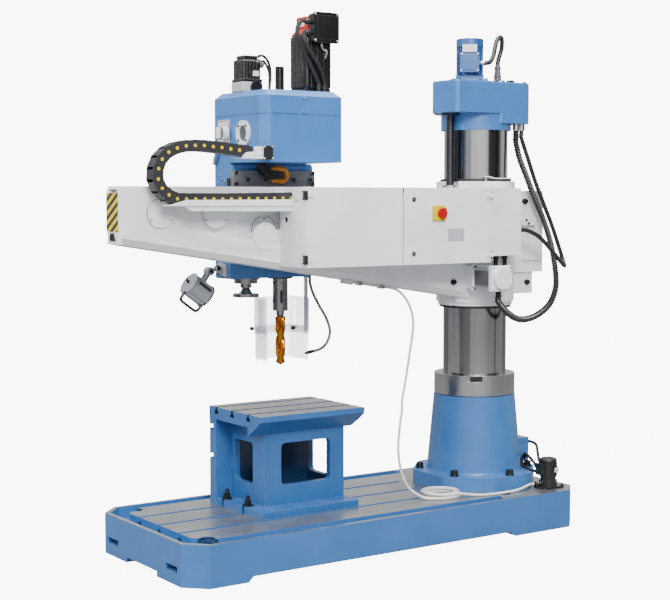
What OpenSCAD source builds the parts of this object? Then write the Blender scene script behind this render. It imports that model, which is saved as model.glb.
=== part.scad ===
// Radial arm drill: slotted base with a box table, swivelling column with a lift gearbox,
// lifting arm with an electric cabinet, and a drill head that slides along the arm.
// Z is up. The origin lies on the floor, at the centre of the four foundation bolts.
// The arm points to -X, the cabinet faces -Y and the spindle stands on the +Y side.

/* [Base] */
// Length of the base along X
base_l = 2090; // [1900:10:2500]
// Width of the base along Y
base_w = 860; // [780:10:1050]
// Height of the base
base_h = 175; // [150:5:220]
// Chamfer of the base's four upright corners
base_chamfer = 85; // [50:5:110]
// Thickness of the rim round the coolant gutter
rim_t = 20; // [14:1:30]
// Width of the coolant gutter
gutter_w = 62; // [50:1:70]
// Depth of the coolant gutter
gutter_d = 50; // [44:1:60]
// Distance between foundation bolts along X
found_dx = 1560; // [1400:10:1600]
// Distance between foundation bolts along Y
found_dy = 640; // [560:10:640]
// Distance from the base's free end to the first foundation bolts
found_inset = 135; // [125:5:170]
// Diameter of the foundation bolt holes
found_d = 26; // [20:1:30]
// Diameter of the recess round each foundation bolt
found_recess_d = 62; // [50:1:66]
// Distance between the T-slots of the base
slot_pitch = 178; // [150:1:190]
// Width of the neck of a base T-slot
slot_neck = 22; // [18:1:26]
// Width of the wide part of a base T-slot
slot_wide = 38; // [34:1:44]
// Depth of the neck of a base T-slot
slot_neck_d = 22; // [16:1:26]
// Whole depth of a base T-slot
slot_d = 42; // [38:1:43]

/* [Box table] */
// Length of the table's top along X
table_l = 540; // [480:10:600]
// Height of the table above the base
table_h = 437; // [380:1:460]
// Distance between the T-slots of the table's top
table_slot_pitch = 135; // [110:1:150]

/* [Column] */
// Diameter of the ground column
col_d = 300; // [280:2:310]
// Distance from the column's axis to the base's right end
col_inset = 310; // [300:5:360]
// Height of the steel ring's underside above the floor
ring_z = 606; // [580:1:640]
// Height of the steel ring
ring_h = 97; // [80:1:105]
// Diameter of the steel ring
ring_d = 385; // [370:1:400]
// Diameter of the column foot's flange
foot_d = 590; // [560:10:600]
// Height of the lift gearbox's underside above the floor
cap_z = 1926; // [1900:1:2000]
// Diameter of the lift screw
screw_d = 34; // [28:1:36]

/* [Arm] */
// Distance from the column's axis to the arm's free end
arm_l = 1928; // [1850:10:2100]
// Height of the arm's top above the floor
arm_top_z = 1579; // [1560:1:1590]
// Height of the underside at the free end
arm_tip_z = 1350; // [1320:1:1375]
// Height of the underside at the column
arm_root_z = 1046; // [1040:1:1080]
// Place of the arm's cabinet side along Y
arm_back = -128; // [-135:1:-120]
// Place of the arm's guideway side along Y
arm_front = 60; // [50:1:65]
// Outer diameter of the arm's sleeve on the column
sleeve_d = 370; // [360:1:374]

/* [Cabinet] */
// Length of the cabinet's doors together, along X
cab_l = 996; // [900:2:1000]
// Height of the cabinet
cab_h = 336; // [300:1:340]
// Depth of the cabinet with its doors
cab_d = 202; // [190:1:215]
// Thickness of the cabinet's sheet
cab_t = 3; // [2:0.5:4]

/* [Drill head] */
// Width of the gearbox along X
head_w = 391; // [370:1:400]
// Width of the lower head along X
body_w = 420; // [410:1:440]
// Depth of the lower head along Y
body_d = 131; // [125:1:140]
// Height of the lower head's underside above the floor
head_z = 1181; // [1170:1:1200]
// Height of the gearbox's underside above the floor
gearbox_z = 1683; // [1675:1:1700]
// Height of the gearbox below its cover
gearbox_h = 202; // [190:1:220]
// Height of the cover with its bevel
cover_h = 100; // [90:1:120]
// Distance from the column's axis to the head's free side
head_reach = 1289; // [1200:1:1300]

/* [Spindle] */
// Distance from the head's free side to the spindle's axis
spindle_in = 295; // [290:1:300]
// Diameter of the quill
quill_d = 90; // [84:1:92]
// Diameter of the spindle's nose
spindle_d = 68; // [60:1:70]
// Length of the spindle below the head
spindle_l = 152; // [120:1:160]
// Diameter of the twist drill
drill_d = 42; // [20:1:44]
// Length of the drill's fluted part with its tip
flute_l = 222; // [180:1:222]

/* [Energy chain] */
// Height of a chain link
link_h = 50; // [44:1:54]
// Width of a chain link
link_w = 60; // [50:1:64]
// Distance between chain links
link_pitch = 38; // [34:1:42]
// Radius of the chain's loop, to the links' middle
chain_r = 105; // [100:1:110]

/* [Hoses] */
// Diameter of the coolant hose
hose_d = 12; // [10:1:12]
// Diameter of the ribbed conduit
conduit_d = 26; // [22:1:28]
// Ribs of the ribbed conduit
conduit_ribs = 120; // [60:1:160]
// Loops of the coolant hose's coil
coil_loops = 4; // [4:4:4]

/* [Hidden] */
$fn = 72;

// Clearances
fit = 0.05;
gap = 0.3;
eps = 1;

// Main places
base_x0 = -found_dx/2 - found_inset;
base_x1 = base_x0 + base_l;
col_x = base_x1 - col_inset;
arm_x0 = col_x - arm_l;
head_x0 = col_x - head_reach;
arm_slope = (arm_tip_z - arm_root_z)/arm_l;
rail_front = arm_front + 40;
head_y0 = rail_front + gap;
head_y1 = head_y0 + body_d;
gearbox_y0 = arm_back - 50;
spindle_x = head_x0 + spindle_in;
spindle_y = head_y0 + body_d/2;
cover_z = gearbox_z + gearbox_h;
top_z = cover_z + cover_h;
cab_x0 = col_x - 1178;
cab_x1 = cab_x0 + cab_l;
cab_front = arm_back - cab_d;
cab_z0 = arm_top_z - cab_h;
screw_x = col_x - 190;
screw_y = -43;
door_t = 18;
door_split = cab_x0 + cab_l/2;

function underside(x) = arm_tip_z - arm_slope*(x - arm_x0);

// Outlines
function unit(v) = v/norm(v);
function turn(a) = a > 180 ? a - 360 : a < -180 ? a + 360 : a;
function corner(a, b, c, r, n) = r == 0 ? [b] :
  let (u = unit(a - b), w = unit(c - b), h = acos(u*w)/2, d = r/tan(h),
    m = b + unit(u + w)*(r/sin(h)), p = b + u*d, q = b + w*d,
    s = atan2(p.y - m.y, p.x - m.x), e = atan2(q.y - m.y, q.x - m.x))
  [for (i = [0:n]) m + r*[cos(s + turn(e - s)*i/n), sin(s + turn(e - s)*i/n)]];
function rounded(p, r, n = 5) = [for (i = [0:len(p) - 1])
  each corner(p[(i + len(p) - 1)%len(p)], p[i], p[(i + 1)%len(p)], is_list(r) ? r[i] : r, n)];
function cut_corners(x0, x1, y0, y1, c) = [[x0 + c, y0], [x1 - c, y0], [x1, y0 + c],
  [x1, y1 - c], [x1 - c, y1], [x0 + c, y1], [x0, y1 - c], [x0, y0 + c]];
function rectangle(x0, x1, y0, y1) = [[x0, y0], [x1, y0], [x1, y1], [x0, y1]];

// A plate between two heights, over an outline in X and Y
module slab(points, z0, z1) translate([0, 0, z0]) linear_extrude(z1 - z0) polygon(points);

// A plate between two places along Y, over an outline in X and Z
module side_slab(points, y0, y1) translate([0, y1, 0]) rotate([90, 0, 0])
  linear_extrude(y1 - y0) polygon(points);

// A plate between two places along X, over an outline in Y and Z
module end_slab(points, x0, x1) translate([x0, 0, 0]) rotate([90, 0, 90])
  linear_extrude(x1 - x0) polygon(points);

module block(x0, x1, y0, y1, z0, z1) translate([x0, y0, z0]) cube([x1 - x0, y1 - y0, z1 - z0]);
module rod(x, y, z0, z1, d) translate([x, y, z0]) cylinder(d = d, h = z1 - z0);
module rod_y(x, z, y0, y1, d) translate([x, y1, z]) rotate([90, 0, 0]) cylinder(d = d, h = y1 - y0);
module rod_x(y, z, x0, x1, d) translate([x0, y, z]) rotate([0, 90, 0]) cylinder(d = d, h = x1 - x0);
module ring(x, y, z0, z1, d, bore) difference() {
  rod(x, y, z0, z1, d);
  rod(x, y, z0 - eps, z1 + eps, bore);
}
module hex_socket(x, y, z, across, deep) translate([x, y, z - deep])
  cylinder(d = across/cos(30), h = deep + eps, $fn = 6);

// Routes: a smooth line through hand-chosen points, and a tube swept along a line.
// A lead is the straight stretch with which a cable leaves or meets a piece.
function lead(p, v) = [p, p + v, p + 2*v];
function landing(p, v) = [p + 2*v, p + v, p];
function smooth_line(p, n) = concat([for (i = [0:len(p) - 2], k = [0:n - 1])
  let (a = p[max(i - 1, 0)], b = p[i], c = p[i + 1], d = p[min(i + 2, len(p) - 1)], t = k/n)
  0.5*(2*b + (c - a)*t + (2*a - 5*b + 4*c - d)*t*t + (3*b - a - 3*c + d)*t*t*t)], [p[len(p) - 1]]);
function tangents(p) = let (e = len(p) - 1)
  [for (i = [0:e]) unit(p[min(i + 1, e)] - p[max(i - 1, 0)])];
function carried(u, s, t) = let (a = cross(s, t), k = norm(a)) k < 0.000001 ? u :
  let (n = a/k, c = s*t) u*c + cross(n, u)*k + n*(n*u)*(1 - c);
function sides_of(t, i = 0, done = []) = i == len(t) ? done :
  let (first = unit(cross(t[0], abs(t[0].z) > 0.9 ? [1, 0, 0] : [0, 0, 1])),
    u = i == 0 ? first : unit(carried(done[i - 1], t[i - 1], t[i])))
  sides_of(t, i + 1, concat(done, [u]));
function ring_points(p, t, u, r, n) = [for (k = [0:n - 1])
  p + r*(u*cos(360*k/n) + cross(t, u)*sin(360*k/n))];
function wall_faces(rings, n, start = 0, flip = false) = [for (i = [0:rings - 2], k = [0:n - 1])
  let (a = start + i*n + k, b = start + i*n + (k + 1)%n, c = b + n, d = a + n)
  each flip ? [[a, b, c], [a, c, d]] : [[a, c, b], [a, d, c]]];

module tube(path, d, n = 8) {
  t = tangents(path);
  u = sides_of(t);
  last = len(path) - 1;
  polyhedron([for (i = [0:last]) each ring_points(path[i], t[i], u[i], d/2, n)],
    concat([[for (k = [0:n - 1]) k]], wall_faces(last + 1, n),
      [[for (k = [n - 1:-1:0]) last*n + k]]));
}

// A T-slot along X whose mouth is at z = 0
module t_slot(l, neck, wide, neck_d, d) {
  translate([0, -neck/2, -d]) cube([l, neck, d + eps]);
  translate([0, -wide/2, -d]) cube([l, wide, d - neck_d]);
}

// Base
pad_x0 = base_x0 + rim_t + gutter_w;
pad_y = base_w/2 - rim_t - gutter_w;
gutter_x1 = col_x - 135;
slot_x1 = col_x - foot_d/2 - 20;
recess_h = 22;
recess_y = 137;
recess_x0 = base_x0 + 283;
recess_x1 = base_x1 - 414;
foot_bolt_r = 262;
foot_bolt_angles = [30:60:330];

module foundation_places() for (x = [-found_dx/2, found_dx/2], y = [-found_dy/2, found_dy/2])
  translate([x, y, 0]) children();

module gutter() difference() {
  slab(cut_corners(base_x0 + rim_t, base_x1, -base_w/2 + rim_t, base_w/2 - rim_t,
    base_chamfer - 8), base_h - gutter_d, base_h + eps);
  slab(cut_corners(pad_x0, base_x1 + 200, -pad_y, pad_y, base_chamfer - 10),
    base_h - gutter_d - eps, base_h + 2*eps);
  for (s = [-1, 1]) slab([[gutter_x1, s*pad_y], [gutter_x1 - 45, s*(base_w/2)],
    [base_x1 + eps, s*(base_w/2)], [base_x1 + eps, s*(pad_y - eps)], [gutter_x1, s*(pad_y - eps)]],
    base_h - gutter_d - eps, base_h + 2*eps);
}

module base_casting() color("steelblue") difference() {
  slab(cut_corners(base_x0, base_x1, -base_w/2, base_w/2, base_chamfer), 0, base_h);
  gutter();
  for (y = [-slot_pitch, 0, slot_pitch]) translate([pad_x0 - eps, y, base_h])
    t_slot(slot_x1 - pad_x0, slot_neck, slot_wide, slot_neck_d, slot_d);
  foundation_places() rod(0, 0, -eps, base_h + eps, found_d);
  foundation_places() rod(0, 0, base_h - 14, base_h + eps, found_recess_d);
  difference() {
    union() {
      side_slab([[recess_x0 - 24, -eps], [recess_x0, recess_h], [recess_x1 - 40, recess_h],
        [recess_x1, -eps]], -base_w/2 - eps, base_w/2 + eps);
      block(base_x0 - eps, base_x1 + eps, -recess_y, recess_y, -eps, recess_h);
    }
    foundation_places() rod(0, 0, -2*eps, recess_h + eps, 90);
  }
  for (x = [base_x0 + 59, base_x1 + eps], y = [-265, 265])
    block(x - 60, x, y - 48, y + 48, 49, 76);
  for (a = foot_bolt_angles) translate([col_x + foot_bolt_r*cos(a), foot_bolt_r*sin(a), 0])
    rod(0, 0, base_h - 46, base_h + eps, 23);
}

// Column foot
foot_t = 66;
foot_top = ring_z - 3;
foot_bore = 210;
box_seat = 230;

module column_foot() color("steelblue") difference() {
  union() {
    slab([for (p = rounded([for (a = [22.5:45:337.5]) (foot_d/2 + 12)*[cos(a), sin(a)]], 90))
      p + [col_x, 0]], base_h, base_h + foot_t);
    translate([col_x, 0, base_h + foot_t - eps])
      cylinder(d1 = 452, d2 = ring_d + 2, h = foot_top - base_h - foot_t + eps);
    translate([col_x, 0, base_h + foot_t - eps]) cylinder(d1 = 464, d2 = 440, h = 26);
    block(col_x + 180, col_x + box_seat, -40, 40, 265, 350);
  }
  rod(col_x, 0, base_h - eps, foot_top + eps, foot_bore + 2*fit);
  translate([col_x, 0, base_h - eps]) cylinder(d1 = 380, d2 = 330, h = 250);
  for (a = foot_bolt_angles) translate([col_x + foot_bolt_r*cos(a), foot_bolt_r*sin(a), 0])
    rod(0, 0, base_h - eps, base_h + foot_t + eps, 24);
}

module foot_bolts() color("dimgray") for (a = foot_bolt_angles)
  translate([col_x + foot_bolt_r*cos(a), foot_bolt_r*sin(a), 0]) difference() {
    union() {
      rod(0, 0, base_h - 44, base_h + foot_t, 22);
      rod(0, 0, base_h + foot_t, base_h + foot_t + 6, 42);
      rod(0, 0, base_h + foot_t + 6, base_h + foot_t + 26, 34);
    }
    hex_socket(0, 0, base_h + foot_t + 26, 17, 12);
  }

module inner_column() color("silver") difference() {
  union() {
    rod(col_x, 0, base_h + 251, 1890, foot_bore);
    rod(col_x, 0, base_h, base_h + 20, 320);
    rod(col_x, 0, base_h, base_h + 252, foot_bore);
  }
  rod(col_x, 0, base_h - eps, 1890 + eps, foot_bore - 40);
}

// Box table
table_x0 = head_x0 - 13;
table_x1 = table_x0 + table_l;
table_y0 = -162;
table_y1 = 272;
table_z = base_h + table_h;
table_box_x0 = table_x0 + 82;
table_box_x1 = table_x1 - 41;
table_box_y0 = table_y0 + 102;
table_plate_t = 55;
table_flange_t = 29;
table_slot_neck = 18;
table_slot_wide = 32;
table_mid_y = (table_y0 + table_y1)/2 + 18;
bolt_x = table_x0 + 36;
bolt_ys = [0, slot_pitch];

module table_window(x0, x1, z0, z1) side_slab(rounded(rectangle(x0, x1, z0, z1), 20),
  table_y0 - eps, table_y1 - 90);

module box_table() color("steelblue") difference() {
  union() {
    block(table_box_x0, table_box_x1, table_box_y0, table_y1 - 40, base_h, table_z - 30);
    slab(rectangle(table_x0 + 10, table_box_x1 + 9, table_y0, table_y1), base_h,
      base_h + table_flange_t);
    side_slab([[table_x0, table_z - table_plate_t], [table_x1 - 30, table_z - table_plate_t],
      [table_x1, table_z - 26], [table_x1, table_z], [table_x0, table_z]], table_y0 + 40, table_y1);
    end_slab([[table_y0, table_z - 24], [table_y0 + 38, table_z - table_plate_t],
      [table_box_y0 + eps, table_z - 95], [table_box_y0 + eps, table_z], [table_y0, table_z]],
      table_x0, table_x1);
    block(table_x0 + 2, table_box_x1 + 9, table_y1 - 55, table_y1, base_h, table_z - 20);
  }
  block(table_box_x0 + 30, table_box_x1 - 30, table_box_y0 + 30, table_y1 - 85,
    base_h + 45, table_z - table_plate_t - 25);
  table_window(table_box_x0 + 87, table_box_x1 - 75, base_h + 113, base_h + 297);
  end_slab(rounded(rectangle(table_box_y0 + 95, table_y1 - 85, base_h + 111, base_h + 295), 20),
    table_box_x0 - eps, table_box_x1 + eps);
  for (k = [-1:1]) translate([table_x0 - eps, table_mid_y + k*table_slot_pitch, table_z])
    t_slot(table_l + 2*eps, table_slot_neck, table_slot_wide, 16, 31);
  for (z = [base_h + 216, base_h + 347]) translate([table_x0 - eps, table_y1, z])
    rotate([-90, 0, 0]) t_slot(table_l + 2*eps, table_slot_neck, table_slot_wide, 16, 31);
  for (y = bolt_ys) hull() {
    rod(bolt_x, y, base_h - eps, base_h + table_flange_t + eps, 24);
    rod(table_x0 - 30, y, base_h - eps, base_h + table_flange_t + eps, 24);
  }
}

module table_bolts() color("dimgray") for (y = bolt_ys) translate([bolt_x, y, 0]) {
  block(-17, 17, -17, 17, base_h - slot_neck_d - 15, base_h - slot_neck_d);
  rod(0, 0, base_h - slot_neck_d, base_h + table_flange_t + 44, 18);
  ring(0, 0, base_h + table_flange_t, base_h + table_flange_t + 5, 46, 18 + 2*fit);
  difference() {
    translate([0, 0, base_h + table_flange_t + 5]) cylinder(d = 34, h = 18, $fn = 6);
    rod(0, 0, base_h, base_h + 80, 18 + 2*fit);
  }
}

// Coolant pump and junction box
pump_x = col_x + 179;
pump_y = -330;
pump_port_z = base_h + 20;
pump_port_x = pump_x - 66;
pump_port_y = pump_y + 26;

module coolant_pump() color([0.1, 0.1, 0.11]) {
  difference() {
    slab(rounded(rectangle(pump_x - 58, pump_x + 68, pump_y - 44, pump_y + 44), 14),
      base_h, base_h + 9);
    for (x = [-48, 58], y = [-34, 34]) rod(pump_x + x, pump_y + y, base_h - eps, base_h + 10, 9);
  }
  rod(pump_x, pump_y, base_h + 9, base_h + 38, 84);
  rod(pump_x, pump_y, base_h + 38, base_h + 50, 70);
  rod(pump_x, pump_y, base_h + 50, base_h + 126, 78);
  rod(pump_x, pump_y, base_h + 126, base_h + 134, 66);
  block(pump_x - 56, pump_x - 34, pump_y - 16, pump_y + 22, base_h + 66, base_h + 118);
  rod_x(pump_port_y, pump_port_z, pump_port_x, pump_x - 30, 20);
}

module junction_box() color("steelblue") difference() {
  block(col_x + box_seat, col_x + box_seat + 68, -60, 60, 250, 366);
  for (y = [-50, 50], z = [260, 356]) rod_x(y, z, col_x + box_seat + 62, col_x + box_seat + 70, 6);
}

cable_d = 12;
box_x1 = col_x + box_seat + 68;
box_mid_x = col_x + box_seat + 34;
pump_cable_a = concat(lead([box_x1, -40, 340], [cable_d, 0, 0]), [[1198, -66, 324], [1183, -150, 300],
  [1100, -225, 294], [1030, -262, 296]], landing([pump_x - 46, pump_y + 22, 280], [0, cable_d, 0]));
pump_cable_b = concat(lead([box_mid_x, -60, 275], [0, -cable_d, 0]), [[1140, -120, 274], [1132, -160, 268],
  [1090, -195, 262], [1030, -235, 266], [975, -275, 268]],
  landing([pump_x - 56, pump_y + 4, 252], [-cable_d, 0, 0]));

module pump_cables() color([0.08, 0.08, 0.09]) {
  tube(smooth_line(pump_cable_a, 2), cable_d);
  tube(smooth_line(pump_cable_b, 2), cable_d);
}

// Coolant hose: a coil on the base, a stretch to the pump and a stretch up to the arm
coil_x = col_x - 350;
coil_y = -187;
coil_r = 92;
coil_step = 16;
hose_z = base_h + gap + hose_d/2;
coil_rise = hose_d + 1;
coil_rings = 24;

function coil_turn(s) = let (half = coil_loops/2) s < half ? s : coil_loops - s;
function climb(s) = let (t = min(max((s - coil_loops/2 + 0.25)/0.5, 0), 1)) t*t*(3 - 2*t);
function coil_point(s) = let (r = coil_r - coil_step*coil_turn(s), a = -90 + 360*s)
  [coil_x + r*cos(a), coil_y + r*sin(a), hose_z + coil_rise*climb(s)];
coil_end = coil_point(0) - [hose_d, 0, 0];
coil_top = coil_point(coil_loops) + [hose_d, 0, 0];
coil_line = concat([coil_end], [for (i = [0:coil_loops*coil_rings]) coil_point(i/coil_rings)], [coil_top]);
coil_gap = min([for (i = [0:len(coil_line) - 1], j = [i + 6:1:len(coil_line) - 1])
  norm(coil_line[i] - coil_line[j])]) - hose_d;

module hose_coil() color("white") {
  echo(coil_gap = coil_gap);
  tube(coil_line, hose_d, 6);
}

hose_pump_points = concat(lead(coil_top, [hose_d, 0, 0]), [[590, -290, 188], [650, -315, 182],
  [760, -332, 182], [860, -328, 184]],
  landing([pump_port_x, pump_port_y, pump_port_z], [-hose_d, 0, 0]));
hose_riser_points = concat(lead(coil_end, [-hose_d, 0, 0]), [[430, -262, 182], [380, -225, 188],
  [325, -190, 235], [292, -176, 320], [286, -166, 410], [302, -156, 510]],
  landing([318, -150, 600], [0, 0, -hose_d]));
hose_arm_points = concat(lead([318, -150, 600], [0, 0, hose_d]), [[340, -144, 700], [370, -136, 826],
  [392, -130, 920], [397, -126, 985], [386, -112, 1050], [350, -98, 1104],
  [300, -95, underside(300) - 8], [200, -95, underside(200) - 8], [94, -95, underside(94) - 8],
  [80, -95, underside(80) - 8]]);

module hose_to_pump() color("white") tube(smooth_line(hose_pump_points, 2), hose_d);
module hose_riser() color("white") tube(smooth_line(hose_riser_points, 3), hose_d);
module hose_on_arm() color("white") tube(smooth_line(hose_arm_points, 3), hose_d);

// Column
ring_bore = foot_bore + 2*fit;

module outer_column() color("silver") difference() {
  rod(col_x, 0, ring_z, cap_z, col_d);
  rod(col_x, 0, ring_z - eps, ring_z + 120, ring_bore);
  rod(col_x, 0, ring_z + 119, 1780, ring_bore + 16);
  rod(col_x, 0, 1779, cap_z + eps, ring_bore);
}

module column_ring() color("silver") difference() {
  ring(col_x, 0, ring_z, ring_z + ring_h, ring_d, col_d + 2*fit);
  translate([col_x, 0, 0]) rotate([0, 0, 230])
    block(ring_d/2 - 16, ring_d/2 + eps, -28, 28, ring_z + ring_h - 28, ring_z + ring_h + eps);
}

// Lift gearbox on top of the column
cap_h = 108;
lid_h = 38;
skirt_h = 77;
cap_x0 = col_x - 258;
cap_x1 = col_x + 192;
cap_y = 172;
cap_outline = rounded([[cap_x0, -cap_y], [cap_x1, -cap_y], [cap_x1, cap_y], [cap_x0 + 150, cap_y],
  [cap_x0, 6]], 24);
cap_inner = rounded([[cap_x0 + 14, -cap_y + 14], [cap_x1 - 14, -cap_y + 14],
  [cap_x1 - 14, cap_y - 14], [cap_x0 + 156, cap_y - 14], [cap_x0 + 14, 12]], 12);
motor_x = col_x - 62;
motor_y = -26;
motor_turn = -40;
lid_z = cap_z + cap_h;
cap_top = lid_z + lid_h;
glands = [[col_x + 141, -125], [col_x + 175, -125]];
gland_bottom = cap_z - 76;
plug_x = col_x + 93;
plug_y = -45;

module column_cap() color("steelblue") difference() {
  union() {
    slab(cap_outline, cap_z, lid_z);
    rod(col_x, 0, cap_z - skirt_h, cap_z + eps, 332);
    slab(rounded(rectangle(col_x + 2, cap_x1, -cap_y, -4), [14, 24, 24, 14]), cap_z - 46,
      cap_z + 10);
  }
  rod(col_x, 0, cap_z - skirt_h - eps, cap_z, col_d + 2*fit);
  slab(cap_inner, cap_z + 14, lid_z + eps);
  rod(screw_x, screw_y, cap_z - eps, cap_z + 20, screw_d + 2*fit);
}

module cap_lid() color("steelblue") difference() {
  union() {
    slab(cap_outline, lid_z, cap_top - 6);
    slab(rounded([[cap_x0 + 5, -cap_y + 5], [cap_x1 - 5, -cap_y + 5], [cap_x1 - 5, cap_y - 5],
      [cap_x0 + 152, cap_y - 5], [cap_x0 + 5, 8]], 20), cap_top - 7, cap_top);
    translate([motor_x, motor_y, cap_top - eps]) rotate([0, 0, motor_turn])
      slab(rounded(rectangle(-86, 86, -86, 86), 10), 0, 15);
    slab(rounded(rectangle(col_x + 118, col_x + 178, -70, 40), 8), cap_top - eps, cap_top + 7);
  }
  rod(motor_x, motor_y, lid_z - eps, cap_top + 20, 90);
}

motor_z = cap_top + 14;

module lift_motor() color("steelblue") translate([motor_x, motor_y, motor_z])
  rotate([0, 0, motor_turn]) {
    difference() {
      union() {
        slab(rounded(rectangle(-66, 66, -66, 66), 8), 0, 12);
        rod(0, 0, 11, 150, 112);
        rod(0, 0, 149, 186, 128);
        for (a = [0:15:345]) if (a < 240 || a > 300) rotate([0, 0, a]) block(50, 63, -1.5, 1.5, 14, 150);
      }
      for (x = [-56, 56], y = [-56, 56]) rod(x, y, -eps, 13, 10);
      rod(0, 0, 178, 187, 104);
    }
    for (x = [-56, 56], y = [-56, 56]) rod(x, y, 12, 20, 16);
    block(-40, 40, -86, -57, 32, 112);
    difference() {
      block(-44, 44, -96, -86, 28, 116);
      for (x = [-38, 38], z = [34, 110]) rod_y(x, z, -97, -90, 7);
    }
    rod_x(-72, 70, 40, 58, 22);
  }

function on_motor(p) = [motor_x, motor_y, motor_z]
  + [p.x*cos(motor_turn) - p.y*sin(motor_turn), p.x*sin(motor_turn) + p.y*cos(motor_turn), p.z];
lift_cable_d = 13;
plug_top = cap_top + 98;
lift_cable_points = concat([for (x = [58, 71, 84]) on_motor([x, -72, 70])], [[900, -96, 2192],
  [924, -82, 2240], [944, -68, 2278], [960, -58, 2292], [970, -50, 2276], [966, -46, 2230]],
  landing([plug_x, plug_y, plug_top], [0, 0, lift_cable_d]));

module lift_motor_cable() color([0.1, 0.1, 0.11]) {
  tube(smooth_line(lift_cable_points, 3), lift_cable_d);
  slab(rounded(rectangle(plug_x - 40, plug_x + 16, plug_y - 24, plug_y + 24), 6), cap_top, cap_top + 14);
  rod(plug_x, plug_y, cap_top + 14, cap_top + 50, 30);
  rod(plug_x, plug_y, cap_top + 50, cap_top + 84, 25);
  rod(plug_x, plug_y, cap_top + 84, plug_top, 21);
  block(plug_x + 34, plug_x + 56, plug_y - 56, plug_y - 26, cap_top, cap_top + 16);
  for (g = glands) ring(g.x, g.y, gland_bottom, cap_z - 46, 32, 18);
  difference() {
    ring(screw_x, screw_y, cap_z - 8, cap_z, 88, screw_d + 2*fit);
    rod(col_x, 0, cap_z - skirt_h, cap_z + eps, 334);
  }
}

// Conduits from the lift gearbox to the arm
clamp_x0 = col_x - 173;
clamp_x1 = clamp_x0 + 116;
clamp_z0 = arm_top_z - 470;
clamp_z1 = clamp_z0 + 116;
clamp_y0 = -345;
clamp_y1 = -sleeve_d/2 + 5;
duct_x1 = col_x + 22;
duct_y0 = cab_front + 30;
duct_y1 = -sleeve_d/2 - 5;
duct_z0 = cab_z0 + 27;
ribbed_end = [clamp_x1 - 24, -265, clamp_z0];
smooth_d = 17;
smooth_end = [duct_x1 + 14, -245, 1385];
ribbed_points = concat(lead([glands[0].x, glands[0].y, gland_bottom], [0, 0, -conduit_d]),
  [[1022, -134, 1720], [1058, -146, 1630], [1100, -156, 1530], [1150, -166, 1425], [1188, -178, 1310],
  [1204, -190, 1200], [1198, -204, 1110], [1150, -218, 1034], [1069, -232, 988],
  [988, -244, 968], [910, -254, 972], [842, -262, 1004]], landing(ribbed_end, [0, 0, -conduit_d]));
smooth_points = concat(lead([glands[1].x, glands[1].y, gland_bottom], [0, 0, -smooth_d]),
  [[1072, -132, 1730], [1120, -138, 1610], [1172, -144, 1500], [1224, -150, 1390], [1268, -160, 1270],
  [1276, -176, 1216], [1246, -205, 1212], [1170, -228, 1262], [1060, -242, 1346], [980, -245, 1380]],
  landing(smooth_end, [smooth_d, 0, 0]));

function along(p, s) = let (i = min(floor(s*(len(p) - 1)), len(p) - 2), f = s*(len(p) - 1) - i)
  p[i]*(1 - f) + p[i + 1]*f;

// Ribbed hose: each rib is a crest ring and a root ring, and the bore has its own rings
module ribbed_tube(points, ribs, d, bore, n = 8) {
  fine = smooth_line(points, 8);
  rings = 2*ribs + 1;
  inner = 31;
  line = [for (i = [0:rings - 1]) along(fine, i/(rings - 1))];
  core = [for (i = [0:inner - 1]) along(fine, i/(inner - 1))];
  t = tangents(line);
  u = sides_of(t);
  s = tangents(core);
  v = sides_of(s);
  o = rings*n;
  e = rings - 1;
  f = o + (inner - 1)*n;
  polyhedron(concat(
    [for (i = [0:e]) each ring_points(line[i], t[i], u[i], (i%2 == 0 ? d/2 - 2.5 : d/2), n)],
    [for (i = [0:inner - 1]) each ring_points(core[i], s[i], v[i], bore/2, n)]),
    concat(wall_faces(rings, n), wall_faces(inner, n, o, true),
      [for (k = [0:n - 1]) each let (m = (k + 1)%n) [[k, m, o + m], [k, o + m, o + k]]],
      [for (k = [0:n - 1]) each let (m = (k + 1)%n)
        [[e*n + k, f + k, f + m], [e*n + k, f + m, e*n + m]]]));
}

module conduit_ribbed() color([0.1, 0.1, 0.11]) ribbed_tube(ribbed_points, conduit_ribs, conduit_d, 17);
module conduit_smooth() color([0.08, 0.08, 0.09]) tube(smooth_line(smooth_points, 3), smooth_d);

screw_z0 = 1262;
screw_z1 = cap_z + 64;
module lift_screw() color("dimgray") {
  difference() {
    union() {
      rod(screw_x, screw_y, screw_z0, screw_z1, screw_d);
      rod(screw_x, screw_y, cap_z + 14 + gap, cap_z + 44, 84);
    }
    for (a = [0:30:330]) translate([screw_x, screw_y, 0]) rotate([0, 0, a])
      block(36, 44, -3, 3, cap_z, cap_z + 46);
  }
}

// Arm
bore_top = arm_top_z + 31;
bore_bottom = arm_root_z - 17;
housing_x = col_x + 330;
housing_y = 110;
pocket_x0 = arm_x0 + 180;
pocket_x1 = cab_x0 + 60;
pocket_d = 46;
cover_places = [[arm_x0 + 184, 1469, arm_back], [arm_x0 + 440, 1466, arm_back + 6],
  [arm_x0 + 673, 1372, arm_back]];
cover_d = 118;
arm_wall = 22;
nut_d = 64;
nut_flange_d = 76;
tip_cut = 77;

module arm_core() intersection() {
  side_slab([[arm_x0 - eps, arm_top_z - 30], [arm_x0 - eps, arm_tip_z + 24],
    [col_x - 300, underside(col_x - 300) + 24], [col_x - 300, arm_top_z - 30]],
    arm_back + arm_wall + pocket_d, arm_front - arm_wall);
  slab([[arm_x0 - eps, arm_back], [arm_x0 - eps, arm_front - tip_cut - arm_wall],
    [arm_x0 + 62, arm_front - arm_wall], [col_x, arm_front - arm_wall], [col_x, arm_back]],
    arm_root_z - 40, arm_top_z);
}

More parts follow.
